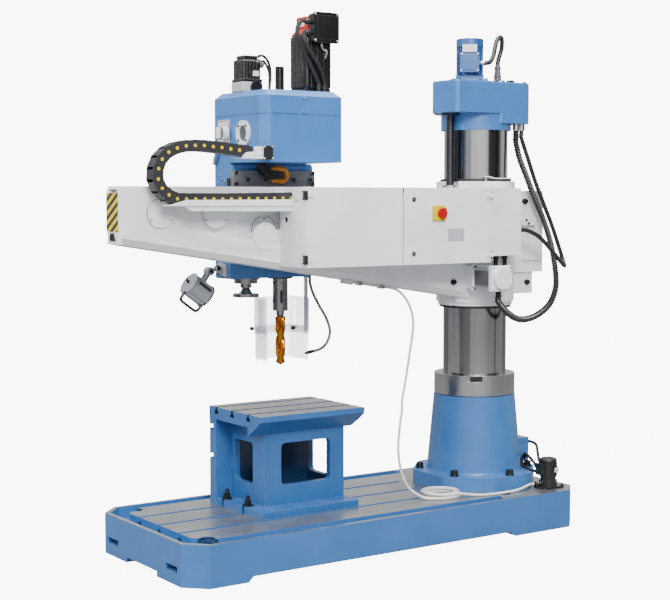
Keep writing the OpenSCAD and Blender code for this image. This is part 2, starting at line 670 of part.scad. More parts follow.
module arm_pocket() intersection() {
  slab([[pocket_x0, arm_back - eps], [pocket_x1, arm_back - eps], [pocket_x1, arm_back + pocket_d],
    [pocket_x0 + 300, arm_back + pocket_d*0.62], [pocket_x0, arm_back]], arm_root_z, arm_top_z);
  side_slab([[pocket_x0 - 2, arm_top_z - 38], [pocket_x0 - 2, arm_tip_z + 28],
    [pocket_x0 + 60, arm_tip_z + 8], [pocket_x1 + eps, arm_tip_z + 54], [pocket_x1 + eps, arm_top_z - 38]],
    arm_back - 2*eps, arm_front);
}

module arm_casting() color([0.86, 0.87, 0.88]) difference() {
  union() {
    difference() {
      side_slab([[arm_x0 + 14, arm_top_z], [arm_x0 + 14, underside(arm_x0 + 14)],
        [col_x, arm_root_z], [col_x, arm_top_z]], arm_back, arm_front);
      slab([[arm_x0, arm_front - tip_cut], [arm_x0 + 74, arm_front + eps], [arm_x0 - eps, arm_front + eps],
        [arm_x0 - eps, arm_front - tip_cut]], arm_tip_z - 60, arm_top_z + eps);
      arm_pocket();
      arm_core();
      translate([arm_x0, arm_back, arm_tip_z]) rotate([0, atan(arm_slope), 0])
        translate([-40, 0, 0]) rotate([45, 0, 0]) translate([0, -18, -18]) cube([arm_l - 100, 36, 36]);
    }
    rod_y(cover_places[1].x, cover_places[1].y, arm_back + 6, arm_back + pocket_d + arm_wall, cover_d + 8);
    rod(col_x, 0, arm_root_z, arm_top_z + 10, sleeve_d);
    rod(col_x, 0, bore_bottom, arm_root_z + eps, 352);
    rod(col_x, 0, arm_top_z, bore_top, 372);
    block(col_x + 100, housing_x, -housing_y, housing_y, arm_top_z - 400, arm_top_z - 12);
    block(col_x + 100, housing_x - 55, -housing_y + 10, housing_y - 10, arm_root_z + 30, arm_top_z - 395);
    block(clamp_x0 + 8, clamp_x1 - 8, clamp_y1, -100, clamp_z0 + 6, clamp_z1 - 6);
  }
  rod(col_x, 0, bore_bottom - eps, bore_top + eps, col_d + 2*fit);
  block(col_x + 140, housing_x + eps, -6, 6, arm_root_z - 40, arm_top_z + 60);
  block(col_x + 176, housing_x - 24, -housing_y + 26, -22, arm_top_z - 372, arm_top_z - 40);
  block(col_x + 176, housing_x - 24, 22, housing_y - 26, arm_top_z - 372, arm_top_z - 40);
  rod(screw_x, screw_y, arm_root_z - 60, arm_top_z + 40, 50);
  rod(screw_x, screw_y, arm_top_z - 98, arm_top_z + 40, nut_d + 2*fit);
  rod(screw_x, screw_y, arm_top_z, arm_top_z + 40, nut_flange_d + 4);
}

module hex_plug(x, z, y) {
  rod_y(x, z, y - 10, y, 26);
  translate([x, y - 10, z]) rotate([90, 0, 0]) cylinder(d = 21, h = 9, $fn = 6);
}

clip_xs = [120, 240];
module arm_fittings() color([0.8, 0.81, 0.82]) {
  end_slab([[arm_back, arm_tip_z - 2], [arm_front - tip_cut - 6, arm_tip_z - 2],
    [arm_front - tip_cut - 6, arm_top_z - 12], [arm_back, arm_top_z - 12]], arm_x0, arm_x0 + 14);
  for (p = cover_places) difference() {
    rod_y(p.x, p.y, p.z - 4, p.z, cover_d);
    for (a = [90, 210, 330]) rod_y(p.x + 50*cos(a), p.y + 50*sin(a), p.z - 5, p.z - 1, 7);
  }
  for (x = clip_xs) translate([x, -95, underside(x)]) rotate([0, atan(arm_slope), 0]) difference() {
    block(-9, 9, -18, 18, -17.5, -0.2);
    rod_x(0, -8, -10, 10, hose_d + 2*gap + 1);
  }
  translate([46, -95, underside(46)]) rotate([0, atan(arm_slope), 0]) block(-18, 34, -14, 14, -20, -0.2);
  side_slab(rounded([[col_x + 196, 1235], [col_x + 322, 1235], [col_x + 322, 1400],
    [col_x + 236, 1412], [col_x + 196, 1380]], 8), -housing_y - 8, -housing_y);
  hex_plug(col_x + 210, arm_top_z - 62, -housing_y);
  hex_plug(col_x + 236, 1130, -housing_y + 10);
  hex_plug(col_x - 240, 1146, arm_back);
}

module guideways() color("silver") {
  rail_x0 = arm_x0 + 70;
  rail_x1 = col_x - 190;
  block(rail_x0, rail_x1, arm_front, rail_front, arm_top_z - 66, arm_top_z);
  block(rail_x0, rail_x1, arm_front, rail_front, arm_tip_z + 40, arm_tip_z + 86);
  rack_n = floor((rail_x1 - rail_x0 - 60)/20);
  difference() {
    block(rail_x0 + 20, rail_x1 - 20, arm_front, arm_front + 25, arm_top_z - 130, arm_top_z - 100);
    for (i = [0:rack_n - 1]) side_slab([[rail_x0 + 34 + 20*i, arm_top_z - 131],
      [rail_x0 + 37 + 20*i, arm_top_z - 121], [rail_x0 + 43 + 20*i, arm_top_z - 121],
      [rail_x0 + 46 + 20*i, arm_top_z - 131]], arm_front - eps, arm_front + 26);
  }
}

module arm_seals() color([0.06, 0.06, 0.06]) {
  ring(col_x, 0, bore_top, bore_top + 12, 336, col_d + 2*gap);
  ring(col_x, 0, bore_bottom - 12, bore_bottom, 340, col_d + 2*gap);
}

module lift_nut() color("peru") difference() {
  union() {
    rod(screw_x, screw_y, arm_top_z - 98, arm_top_z + eps, nut_d);
    rod(screw_x, screw_y, arm_top_z, arm_top_z + 12, nut_flange_d);
  }
  rod(screw_x, screw_y, arm_top_z - 120, arm_top_z + 40, screw_d + 2*fit);
}

// Electric cabinet
hinge_h = 38;
hinge_zs = [cab_z0 + 34, arm_top_z - 36];
hinge_d = 10;
hinge_y = cab_front - 4;
left_hinge_x = cab_x0 - 5;
right_hinge_x = cab_x1 + 6;
door_back = cab_front + door_t;

module cabinet_body() color([0.86, 0.87, 0.88]) {
  difference() {
    block(cab_x0, cab_x1, door_back + gap, arm_back, cab_z0, arm_top_z - 1);
    block(cab_x0 + cab_t, cab_x1 - cab_t, door_back - eps, arm_back - cab_t, cab_z0 + cab_t,
      arm_top_z - 1 - cab_t);
    block(cab_x0 - eps, cab_x0 + cab_t + eps, -222, -158, 1490, 1556);
    rod_x(-175, 1531 - 90, cab_x0 - eps, cab_x0 + 5, 24);
  }
  difference() {
    block(cab_x1, duct_x1, duct_y0, duct_y1, duct_z0, arm_top_z - 1);
    block(cab_x1 + cab_t, duct_x1 - cab_t, duct_y0 + cab_t, duct_y1 - cab_t, duct_z0 + cab_t,
      arm_top_z - 1 - cab_t);
    rod_x(smooth_end.y, smooth_end.z, duct_x1 - 8, duct_x1 + 1, 20);
    block(cab_x1 + 60, cab_x1 + 90, duct_y1 - 8, duct_y1 + 1, duct_z0 + 60, duct_z0 + 90);
  }
  ring_x = duct_x1;
  difference() {
    rod_x(smooth_end.y, smooth_end.z, ring_x, ring_x + 14, 28);
    rod_x(smooth_end.y, smooth_end.z, ring_x - 1, ring_x + 8, 17);
  }
  for (x = [cab_x1 + 20, cab_x1 + 60]) rod(x, duct_y0 + 45, duct_z0 - 22, duct_z0, 20);
}

// A hinge's outer knuckles and pin stand on the frame, and its middle one turns with the door
module cabinet_hinges() color([0.08, 0.08, 0.09]) {
  for (z = hinge_zs) {
    rod(left_hinge_x, hinge_y, z - hinge_h/2, z + hinge_h/2, hinge_d/2);
    rod(right_hinge_x, hinge_y, z - hinge_h/2, z + hinge_h/2, hinge_d/2);
    for (e = [z - hinge_h/2, z + hinge_h/2 - 10]) {
      difference() {
        union() {
          rod(left_hinge_x, hinge_y, e, e + 10, hinge_d);
          block(left_hinge_x - 5, cab_x0 - gap, hinge_y, door_back + 30, e, e + 10);
        }
        rod(left_hinge_x, hinge_y, e - 1, e + 11, hinge_d/2 + 2*fit);
      }
      difference() {
        union() {
          rod(right_hinge_x, hinge_y, e, e + 10, hinge_d);
          block(cab_x1 + gap, right_hinge_x + 5, hinge_y, duct_y0, e, e + 10);
        }
        rod(right_hinge_x, hinge_y, e - 1, e + 11, hinge_d/2 + 2*fit);
      }
    }
  }
}

module door(x0, x1, pin_x, mid) {
  difference() {
    block(x0, x1, cab_front, door_back, cab_z0, arm_top_z - 2);
    block(x0 + cab_t, x1 - cab_t, cab_front + cab_t, door_back + eps, cab_z0 + cab_t,
      arm_top_z - 2 - cab_t);
    children();
  }
  for (z = hinge_zs) difference() {
    union() {
      rod(pin_x, hinge_y, z - hinge_h/2 + 10.5, z + hinge_h/2 - 10.5, hinge_d);
      block(min(pin_x, mid), max(pin_x, mid), hinge_y - 2, cab_front, z - hinge_h/2 + 10.5,
        z + hinge_h/2 - 10.5);
    }
    rod(pin_x, hinge_y, z - hinge_h, z + hinge_h, hinge_d/2 + 2*fit);
  }
}

lock_x = door_split + 57;
lock_zs = [cab_z0 + 48, arm_top_z - 53];
lock_d = 22;
switch_x = door_split + 192;
switch_z = arm_top_z - 113;

module door_left() color([0.88, 0.89, 0.9]) door(cab_x0 + 1, door_split - 1, left_hinge_x, cab_x0 + 30);
module door_right() color([0.88, 0.89, 0.9]) door(door_split + 1, cab_x1 - 1, right_hinge_x, cab_x1 - 30) {
  for (z = lock_zs) rod_y(lock_x, z, cab_front - eps, cab_front + cab_t + eps, lock_d - 4 + 2*fit);
  rod_y(switch_x + 14, switch_z, cab_front - eps, cab_front + cab_t + eps, 14);
}

module cabinet_lock(z) color("silver") difference() {
  union() {
    rod_y(lock_x, z, cab_front - 3 - gap, cab_front - gap, lock_d);
    rod_y(lock_x, z, cab_front - gap - eps, cab_front + 16, lock_d - 4);
  }
  block(lock_x - 6, lock_x + 6, cab_front - 4 - gap, cab_front - gap - 1, z - 1.5, z + 1.5);
}
module lock_upper() cabinet_lock(lock_zs[1]);
module lock_lower() cabinet_lock(lock_zs[0]);

module switch_plate() color("gold") difference() {
  side_slab(rounded(rectangle(switch_x - 33, switch_x + 33, switch_z - 33, switch_z + 33), 4),
    cab_front - 8, cab_front);
  rod_y(switch_x + 14, switch_z, cab_front - 10, cab_front + eps, 12 + 2*fit);
  for (z = [-16, 0]) rod_y(switch_x - 22, switch_z + z + 10, cab_front - 10, cab_front - 6, 5);
}

module switch_knob() color("red") {
  rod_y(switch_x + 14, switch_z, cab_front - 9, cab_front + 10, 12);
  difference() {
    rod_y(switch_x + 14, switch_z, cab_front - 32, cab_front - 8 - gap, 46);
    for (x = [-26, 9]) block(switch_x + 14 + x, switch_x + 31 + x, cab_front - 33, cab_front - 20,
      switch_z - 24, switch_z + 24);
  }
}

// Clamp motor under the cabinet
module clamp_motor() color([0.9, 0.91, 0.92]) {
  difference() {
    block(clamp_x0, clamp_x1, clamp_y1 - 14, clamp_y1, clamp_z0, clamp_z1);
    for (x = [12, 104], z = [12, 104])
      rod_y(clamp_x0 + x, clamp_z0 + z, clamp_y1 - 15, clamp_y1 - 4, 10);
  }
  difference() {
    block(clamp_x0 + 8, clamp_x1 - 8, clamp_y0 + 44, clamp_y1 - 14, clamp_z0 + 6, clamp_z1 - 6);
    for (k = [0:6]) block(clamp_x0 + 7, clamp_x0 + 12, clamp_y0 + 58, clamp_y1 - 30,
      clamp_z0 + 27 + 9*k, clamp_z0 + 31 + 9*k);
  }
  for (z = [clamp_z0 + 2, clamp_z1 - 10]) block(clamp_x0 - 2, clamp_x0 + 8, clamp_y0 + 44,
    clamp_y1 - 14, z, z + 8);
  block(clamp_x0, clamp_x1, clamp_y0 + 24, clamp_y0 + 44, clamp_z0, clamp_z1);
  rod_y(clamp_x0 + 60, clamp_z0 + 58, clamp_y0 + 4, clamp_y0 + 24, 92);
  rod_y(clamp_x0 + 60, clamp_z0 + 58, clamp_y0, clamp_y0 + 4, 86);
}

// Energy chain
chain_y0 = arm_back - 92;
chain_y1 = chain_y0 + link_w;
chain_z0 = arm_top_z - 81;
chain_mid = chain_z0 + link_h/2;
chain_x = arm_x0 + 213;
chain_top = chain_mid + 2*chain_r;
lower_n = floor((cab_x0 + 40 - chain_x)/link_pitch);
loop_n = 8;
bracket_x = head_x0 - 134;
upper_n = floor((bracket_x - chain_x)/link_pitch);

module link(x, z, l) difference() {
  block(x + 0.2, x + l - 0.2, chain_y0, chain_y1, z - link_h/2, z + link_h/2);
  block(x - eps, x + l + eps, chain_y0 + 6, chain_y1 - 6, z - link_h/2 + 6, z + link_h/2 - 6);
}

module chain_lower() color([0.12, 0.12, 0.13])
  for (i = [0:lower_n - 1]) link(chain_x + i*link_pitch, chain_mid, link_pitch);

module chain_upper() color([0.12, 0.12, 0.13]) {
  for (i = [0:upper_n - 1]) link(chain_x + i*link_pitch, chain_top, link_pitch);
  block(chain_x + upper_n*link_pitch, bracket_x + 20, chain_y0 + 6.2, chain_y1 - 6.2,
    chain_top - 18, chain_top + 18);
}

module chain_loop() color([0.12, 0.12, 0.13]) translate([chain_x, 0, chain_mid + chain_r])
  for (i = [0:loop_n - 1]) {
    a = 90 + 180*i/loop_n + 0.15;
    b = 90 + 180*(i + 1)/loop_n - 0.15;
    ri = chain_r - link_h/2;
    ro = chain_r + link_h/2;
    difference() {
      side_slab([ri*[cos(a), sin(a)], ro*[cos(a), sin(a)], ro*[cos(b), sin(b)], ri*[cos(b), sin(b)]],
        chain_y0, chain_y1);
      side_slab([(ri + 6)*[cos(a - 2), sin(a - 2)], (ro - 9)*[cos(a - 2), sin(a - 2)],
        (ro - 9)*[cos(b + 2), sin(b + 2)], (ri + 6)*[cos(b + 2), sin(b + 2)]],
        chain_y0 + 6, chain_y1 - 6);
    }
  }

tray_x0 = arm_x0 + 153;
tray_t = 3;
strap_t = 6;
tray_y1 = arm_back - strap_t;
tray_z = chain_z0 - gap;
module chain_tray() color([0.88, 0.89, 0.9]) {
  slab([[tray_x0, chain_y1 + 8], [tray_x0 + 90, chain_y0 - 4], [cab_x0 - gap, chain_y0 - 4],
    [cab_x0 - gap, tray_y1], [tray_x0 + 40, tray_y1]], tray_z - tray_t, tray_z);
  block(tray_x0 + 90, cab_x0 - gap, chain_y0 - 7, chain_y0 - 4, tray_z - 7, tray_z + 11);
  for (x = [tray_x0 + 170, tray_x0 + 330, tray_x0 + 490])
    block(x, x + 34, tray_y1 - eps, arm_back, tray_z - tray_t, arm_top_z - 6);
}

// Drill head
head_corner = 34;
gearbox_outline = [[head_x0 + head_corner, gearbox_y0], [head_x0 + head_w, gearbox_y0],
  [head_x0 + head_w, head_y1], [head_x0, head_y1], [head_x0, gearbox_y0 + head_corner]];
function inset(p, d) = [[p[0].x + d*0.6, p[0].y + d], [p[1].x - d, p[1].y + d], [p[2].x - d, p[2].y - d],
  [p[3].x + d, p[3].y - d], [p[4].x + d, p[4].y + d*0.6]];
bevel = 25;
wheel_x = head_x0 + 116;
wheel_shaft_d = 20;
body_x1 = head_x0 + body_w;
rod_gx = spindle_x + 108;
rod_gy = spindle_y - 45;
guard_rod_d = 18;
guard_half = 96;

module head_body() color("steelblue") difference() {
  union() {
    block(head_x0, body_x1, head_y0, head_y1, head_z, gearbox_z);
    block(head_x0 + 2, body_x1 - 2, head_y0 - 12, head_y0 + eps, gearbox_z - 32, gearbox_z - 8);
  }
  rod(spindle_x, spindle_y, head_z - eps, gearbox_z + eps, quill_d + 2*fit);
  block(head_x0 + 20, spindle_x - 62, head_y0 + 20, head_y1 - 20, head_z + 40, gearbox_z - 40);
  block(spindle_x - 63, spindle_x - 40, head_y0 + 50, head_y1 - 50, gearbox_z - 200, gearbox_z - 80);
  rod(wheel_x, spindle_y, head_z - eps, head_z + 41, wheel_shaft_d + 2*fit);
}

module head_gearbox() color("steelblue") difference() {
  slab(gearbox_outline, gearbox_z, cover_z);
  slab(inset(gearbox_outline, 16), gearbox_z + 18, cover_z + eps);
  rod(spindle_x, spindle_y, gearbox_z - eps, cover_z, quill_d + 6);
  rod_x(-18, 1806, head_x0 - eps, head_x0 + 20, 66);
  rod_x(120, 1811, head_x0 - eps, head_x0 + 30, 16 + 2*fit);
  rod_x(196, 1725, head_x0 - eps, head_x0 + 30, 14 + 2*fit);
}

module head_cover() color("steelblue") difference() {
  hull() {
    slab(gearbox_outline, cover_z, top_z - bevel);
    slab(inset(gearbox_outline, bevel), top_z - 1, top_z);
  }
  slab(inset(gearbox_outline, 14), cover_z - eps, top_z - bevel - 14);
  rod(spindle_x, spindle_y, cover_z, top_z + eps, 30);
  for (x = [110, 300]) rod_y(head_x0 + x, cover_z + 66, gearbox_y0 - eps, gearbox_y0 + 6, 9);
}

module socket_heads(places) for (p = places) difference() {
  rod_y(p.x, p.y, p.z - 8, p.z, 18);
  translate([p.x, p.z - 8 - eps, p.y]) rotate([-90, 0, 0]) cylinder(d = 9, h = 6, $fn = 6);
}

plate_y = head_y0 - 25;
module saddle_plates() color([0.3, 0.3, 0.3]) {
  block(head_x0 + 2, body_x1 + 1, plate_y, head_y0, arm_top_z + gap, gearbox_z - 32 - gap);
  block(head_x0 + 2, body_x1, plate_y, head_y0, arm_tip_z + 8, arm_tip_z + 40 - gap);
  socket_heads([for (x = [16, body_w - 14], z = [arm_top_z + 16, gearbox_z - 44])
    [head_x0 + x, z, plate_y]]);
  socket_heads([for (x = [64, 152, 322, 392]) [head_x0 + x, arm_top_z + 32, plate_y]]);
}

servo_x = head_x0 + 327;
servo_y = -35;
servo_z = top_z;

module main_motor() color([0.1, 0.1, 0.11]) {
  slab(rounded(rectangle(servo_x - 66, servo_x + 62, servo_y - 64, servo_y + 64), 6), servo_z, servo_z + 16);
  difference() {
    slab(rounded(rectangle(servo_x - 62, servo_x + 62, servo_y - 62, servo_y + 62), 10),
      servo_z + 16, servo_z + 246);
    for (s = [-1, 1], k = [-4:4]) {
      block(servo_x + k*12 - 3, servo_x + k*12 + 3, servo_y + s*62 - 5, servo_y + s*62 + 5,
        servo_z + 30, servo_z + 190);
      block(servo_x + s*62 - 5, servo_x + s*62 + 5, servo_y + k*12 - 3, servo_y + k*12 + 3,
        servo_z + 30, servo_z + 190);
    }
  }
  hull() {
    slab(rectangle(servo_x - 61, servo_x + 61, servo_y - 61, servo_y + 61), servo_z + 246, servo_z + 248);
    slab(rectangle(servo_x - 48, servo_x + 48, servo_y - 48, servo_y + 48), servo_z + 268, servo_z + 270);
  }
  slab(rounded(rectangle(servo_x - 46, servo_x + 46, servo_y - 46, servo_y + 46), 8),
    servo_z + 270, servo_z + 326);
}

box_z0 = servo_z + 208;
box_y0 = servo_y - 62 - 45;
module motor_box() color([0.1, 0.1, 0.11]) {
  block(servo_x - 50, servo_x + 50, box_y0 + 10, servo_y - 62, box_z0 + 8, box_z0 + 122);
  difference() {
    side_slab(rounded(rectangle(servo_x - 53, servo_x + 77, box_z0, box_z0 + 130), 8), box_y0, box_y0 + 10);
    for (x = [-45, 69], z = [9, 121]) rod_y(servo_x + x, box_z0 + z, box_y0 - 1, box_y0 + 6, 9);
  }
  for (z = [42, 88]) rod_x(-120, box_z0 + z, servo_x - 66, servo_x - 50, 24);
}

gland_x = servo_x - 66;
motor_cable_d = 18;
motor_cable_a = concat(lead([gland_x, -120, box_z0 + 88], [-motor_cable_d, 0, 0]),
  [[-222, -124, 2252], [-222, -125, 2212], [-198, -122, 2168], [-162, -120, 2112], [-128, -118, 2056]],
  landing([servo_x - 12, -116, top_z], [0, 0, motor_cable_d]));
motor_cable_b = concat(lead([gland_x, -120, box_z0 + 42], [-motor_cable_d/2, 0, 0]),
  [[-194, -126, 2218], [-188, -133, 2190], [-160, -134, 2148], [-128, -132, 2108], [-98, -126, 2064]],
  landing([servo_x + 16, -119, top_z], [0, 0, motor_cable_d]));
feed_x = head_x0 + 72;
feed_y = 75;
feed_plug_z = top_z + 133;
feed_cable = concat(lead([feed_x + 48, feed_y - 25, feed_plug_z], [12, 0, 0]),
  [[feed_x + 88, feed_y - 38, top_z + 90]], landing([feed_x + 82, feed_y - 50, top_z], [0, 0, 14]));
hook_cable = concat(lead([head_x0 + 118, 60, gearbox_z], [0, 0, -14]),
  [[head_x0 + 128, 42, gearbox_z - 56], [head_x0 + 158, 32, gearbox_z - 66]],
  landing([head_x0 + 210, 36, gearbox_z - 62], [-14, 0, 0]));

module motor_cables() color([0.07, 0.07, 0.08]) {
  tube(smooth_line(motor_cable_a, 3), motor_cable_d);
  tube(smooth_line(motor_cable_b, 3), motor_cable_d);
  tube(smooth_line(feed_cable, 3), 12);
  tube(smooth_line(hook_cable, 3), 14);
}

module feed_servo() color([0.15, 0.15, 0.16]) {
  slab(rounded(rectangle(feed_x - 46, feed_x + 46, feed_y - 46, feed_y + 46), 8), top_z, top_z + 44);
  slab(rounded(rectangle(feed_x - 42, feed_x + 42, feed_y - 42, feed_y + 42), 6), top_z + 44, top_z + 58);
  difference() {
    slab(rounded(rectangle(feed_x - 40, feed_x + 40, feed_y - 40, feed_y + 40), 6), top_z + 58, top_z + 138);
    for (s = [-1, 1], k = [-2:2]) {
      block(feed_x + k*13 - 2, feed_x + k*13 + 2, feed_y + s*40 - 4, feed_y + s*40 + 4,
        top_z + 64, top_z + 130);
      block(feed_x + s*40 - 4, feed_x + s*40 + 4, feed_y + k*13 - 2, feed_y + k*13 + 2,
        top_z + 64, top_z + 130);
    }
  }
  slab(rounded(rectangle(feed_x - 30, feed_x + 30, feed_y - 30, feed_y + 30), 8), top_z + 138, top_z + 156);
  rod_x(feed_y - 25, feed_plug_z, feed_x + 36, feed_x + 48, 22);
}

hook_x = head_x0 + 246;
hook_z = arm_top_z + 42;
module head_fittings() color([0.75, 0.76, 0.78]) {
  ring(spindle_x, spindle_y, head_z - 7, head_z, 112, quill_d + 1);
  difference() {
    union() {
      rod(wheel_x, spindle_y, head_z - 8, head_z, 118);
      rod(wheel_x, spindle_y, head_z - 24, head_z - 8, 104);
    }
    rod(wheel_x, spindle_y, head_z - 25, head_z + eps, wheel_shaft_d + 2*fit);
  }
  rod(rod_gx, rod_gy, head_z - 245, head_z, guard_rod_d);
  ring(rod_gx, rod_gy, head_z - 6, head_z, 24, guard_rod_d + 2*fit);
  rod(spindle_x, spindle_y, top_z, top_z + 128, 40);
  difference() {
    rod_x(-18, 1806, head_x0 - 9, head_x0, 108);
    rod_x(-18, 1806, head_x0 - 10, head_x0 + 1, 66);
    for (a = [45:90:315]) rod_x(-18 + 43*cos(a), 1806 + 43*sin(a), head_x0 - 10, head_x0 - 3, 10);
  }
  rod_x(-18, 1806, head_x0 - 2, head_x0 + 14, 65.6);
  difference() {
    end_slab([[104, 1766], [201, 1766], [201, 1868], [104, 1868]], head_x0 - 2, head_x0);
    rod_x(120, 1811, head_x0 - 3, head_x0 + 1, 22);
  }
  end_slab([[128, head_z + 8], [196, head_z + 22], [208, head_z + 62], [180, head_z + 72],
    [128, head_z + 60]],
    head_x0 - 8, head_x0);
  difference() {
    block(lamp_x - 12, head_x0 - 8, lamp_y - 13, lamp_y + 13, lamp_z - 12, lamp_z + 12);
    rod_y(lamp_x, lamp_z, lamp_y - 20, lamp_y + 20, 8 + 2*fit);
    block(lamp_x - 13, lamp_x + 11, lamp_y - 6.3, lamp_y + 6.3, lamp_z - 13, lamp_z + 13);
  }
  for (z = [gearbox_z - 90, gearbox_z - 68]) rod_x(head_y0 + 60, z, head_x0 - 5, head_x0, 9);
  block(bracket_x + 20, head_x0 - 28, chain_y0, chain_y1, chain_top - 24, chain_top - 20);
  block(bracket_x + 20, head_x0 - 28, chain_y1 - 6, chain_y1 - 2, chain_top - 24, chain_top + 24);
  block(head_x0 - 28, head_x0 + 20, chain_y0, chain_y1 - 12, chain_top - 27, chain_top + 27);
  difference() {
    rod_y(hook_x, hook_z, plate_y - 36, plate_y - 14, 76);
    rod_y(hook_x, hook_z, plate_y - 40, plate_y - 8, 36);
    block(hook_x - 60, hook_x - 8, plate_y - 40, plate_y - 8, hook_z - 14, hook_z + 14);
  }
  rod_y(hook_x + 24, hook_z, plate_y - 15, plate_y, 20);
}

nozzle_d = 11;
nozzle_points = concat(lead([body_x1 - 6, head_y0 + 6, head_z], [0, 0, -nozzle_d]), [[6, 94, 1128],
  [40, 72, 1050], [68, 58, 970], [72, 52, 900], [50, 52, 852], [0, 54, 831]],
  landing([-70, 56, 818], [10, 0, 2]));
module coolant_nozzle() color("silver") tube(smooth_line(nozzle_points, 3), nozzle_d);

module selector_knob() color("silver") {
  rod_x(120, 1811, head_x0 - 10, head_x0 + 24, 16);
  difference() {
    rod_x(120, 1811, head_x0 - 34, head_x0 - 9, 62);
    rod_x(120, 1811, head_x0 - 35, head_x0 - 29, 44);
  }
  block(head_x0 - 38, head_x0 - 29 + eps, 114, 126, 1794, 1828);
}

module feed_lever() color("silver") {
  rod_x(196, 1725, head_x0 - 16, head_x0 + 24, 14);
  translate([head_x0 - 10, 196, 1725]) rotate([26, 0, 0]) {
    block(-6, 6, -9, 9, -44, 9);
    translate([0, 0, -44]) sphere(d = 20);
  }
}

module handwheel() color("dimgray") {
  rod(wheel_x, spindle_y, head_z - 44, head_z + 30, wheel_shaft_d);
  rod(wheel_x, spindle_y, head_z - 44, head_z - 24 - gap, 50);
  translate([wheel_x, spindle_y, head_z - 70]) cylinder(d1 = 62, d2 = 30, h = 27);
  ring(wheel_x, spindle_y, head_z - 84, head_z - 69, 116, 40);
  rod(wheel_x, spindle_y, head_z - 80, head_z - 69, 60);
}

// Work lamp on two joints
lamp_x = head_x0 - 24;
lamp_y = 172;
lamp_z = head_z + 44;
elbow_x = lamp_x - 42;
elbow_z = lamp_z - 10;
module lamp_arm() color([0.6, 0.61, 0.62]) {
  rod_y(lamp_x, lamp_z, lamp_y - 13, lamp_y + 13, 8);
  difference() {
    union() {
      rod_y(lamp_x, lamp_z, lamp_y - 6, lamp_y + 6, 20);
      rod_y(elbow_x, elbow_z, lamp_y - 6, lamp_y + 6, 24);
      side_slab([[lamp_x, lamp_z + 7], [lamp_x, lamp_z - 7], [elbow_x, elbow_z - 7], [elbow_x, elbow_z + 7]],
        lamp_y - 6, lamp_y + 6);
    }
    rod_y(lamp_x, lamp_z, lamp_y - 14, lamp_y + 14, 8 + 2*fit);
    rod_y(elbow_x, elbow_z, lamp_y - 14, lamp_y + 14, 8 + 2*fit);
  }
}

lamp_tilt = 36;
module lamp_head() color([0.6, 0.61, 0.62]) {
  rod_y(elbow_x, elbow_z, lamp_y - 14, lamp_y + 14, 8);
  translate([elbow_x, lamp_y, elbow_z]) rotate([0, lamp_tilt, 0]) {
    for (s = [-1, 1]) difference() {
      union() {
        rod_y(0, 0, s > 0 ? 6.4 : -14, s > 0 ? 14 : -6.4, 22);
        block(-9, 9, s > 0 ? 6.4 : -14, s > 0 ? 14 : -6.4, -46, 0);
      }
      rod_y(0, 0, -20, 20, 8 + 2*fit);
    }
    difference() {
      block(-48, 48, -46, 46, -112, -44);
      for (k = [-4:4]) block(-49, 49, k*10 - 2.5, k*10 + 2.5, -64, -43);
      block(-42, 42, -40, 40, -113, -106);
    }
    rod_x(30, -90, -78, -47, 7);
    rod_x(-30, -90, -78, -47, 7);
    rod_y(-77, -90, -33, 33, 7);
  }
}

// Quill, spindle and drill
nose_z = head_z - spindle_l;
quill_z0 = head_z - 9;
quill_z1 = quill_z0 + 420;
module quill() color("silver") difference() {
  rod(spindle_x, spindle_y, quill_z0, quill_z1, quill_d);
  rod(spindle_x, spindle_y, quill_z0 - eps, quill_z1 + eps, 56 + 2*fit);
}

module spindle() color("silver") difference() {
  union() {
    rod(spindle_x, spindle_y, nose_z, quill_z0 - gap, spindle_d);
    rod(spindle_x, spindle_y, quill_z0 - eps, quill_z1 + 20, 56);
  }
  translate([spindle_x, spindle_y, nose_z - eps]) cylinder(d1 = 31.4, d2 = 25, h = 110);
  block(spindle_x - 50, spindle_x + 50, spindle_y - 5, spindle_y + 5, nose_z + 38, nose_z + 76);
  block(spindle_x - 50, spindle_x + 50, spindle_y - 6, spindle_y + 6, nose_z + 118, nose_z + 130);
}

flute_z1 = nose_z - 24;
flute_outline = [for (a = [0, 180]) each [[1, a - 40], [1, a], [1, a + 40], [0.5, a + 58], [0.32, a + 90],
  [0.55, a + 124]]];
module twist_drill() color("goldenrod") translate([spindle_x, spindle_y, 0]) {
  translate([0, 0, nose_z - 0.5]) cylinder(d1 = 31.2, d2 = 27, h = 70);
  translate([0, 0, flute_z1]) cylinder(d = 30, h = 24.2);
  intersection() {
    translate([0, 0, flute_z1 - flute_l]) linear_extrude(flute_l + 0.2, twist = -420, slices = 28,
      segments = len(flute_outline))
      polygon([for (p = flute_outline) drill_d/2*p.x*[cos(p.y), sin(p.y)]]);
    translate([0, 0, flute_z1 - flute_l]) union() {
      cylinder(d1 = 0.2, d2 = drill_d + 1, h = 13, $fn = 24);
      translate([0, 0, 13 - 0.01]) cylinder(d = drill_d + 1, h = flute_l, $fn = 24);
    }
  }
}

// Chip guard: a clear three-sided shield, with a lower part that slides inside it
guard_z1 = head_z - 91;
guard_t = 3;
guard_knobs = [[-1, -8], [-1, 40], [1, 30]];
function guard_outline(o) = let (x0 = o - guard_half, x1 = guard_half - o, y1 = 70 - o, t = guard_t)
  [[x0, -35], [x0, y1], [x1, y1], [x1, -88], [x1 - t, -88], [x1 - t, y1 - t], [x0 + t, y1 - t],
    [x0 + t, -35]];
function at_spindle(p) = [for (q = p) q + [spindle_x, spindle_y]];

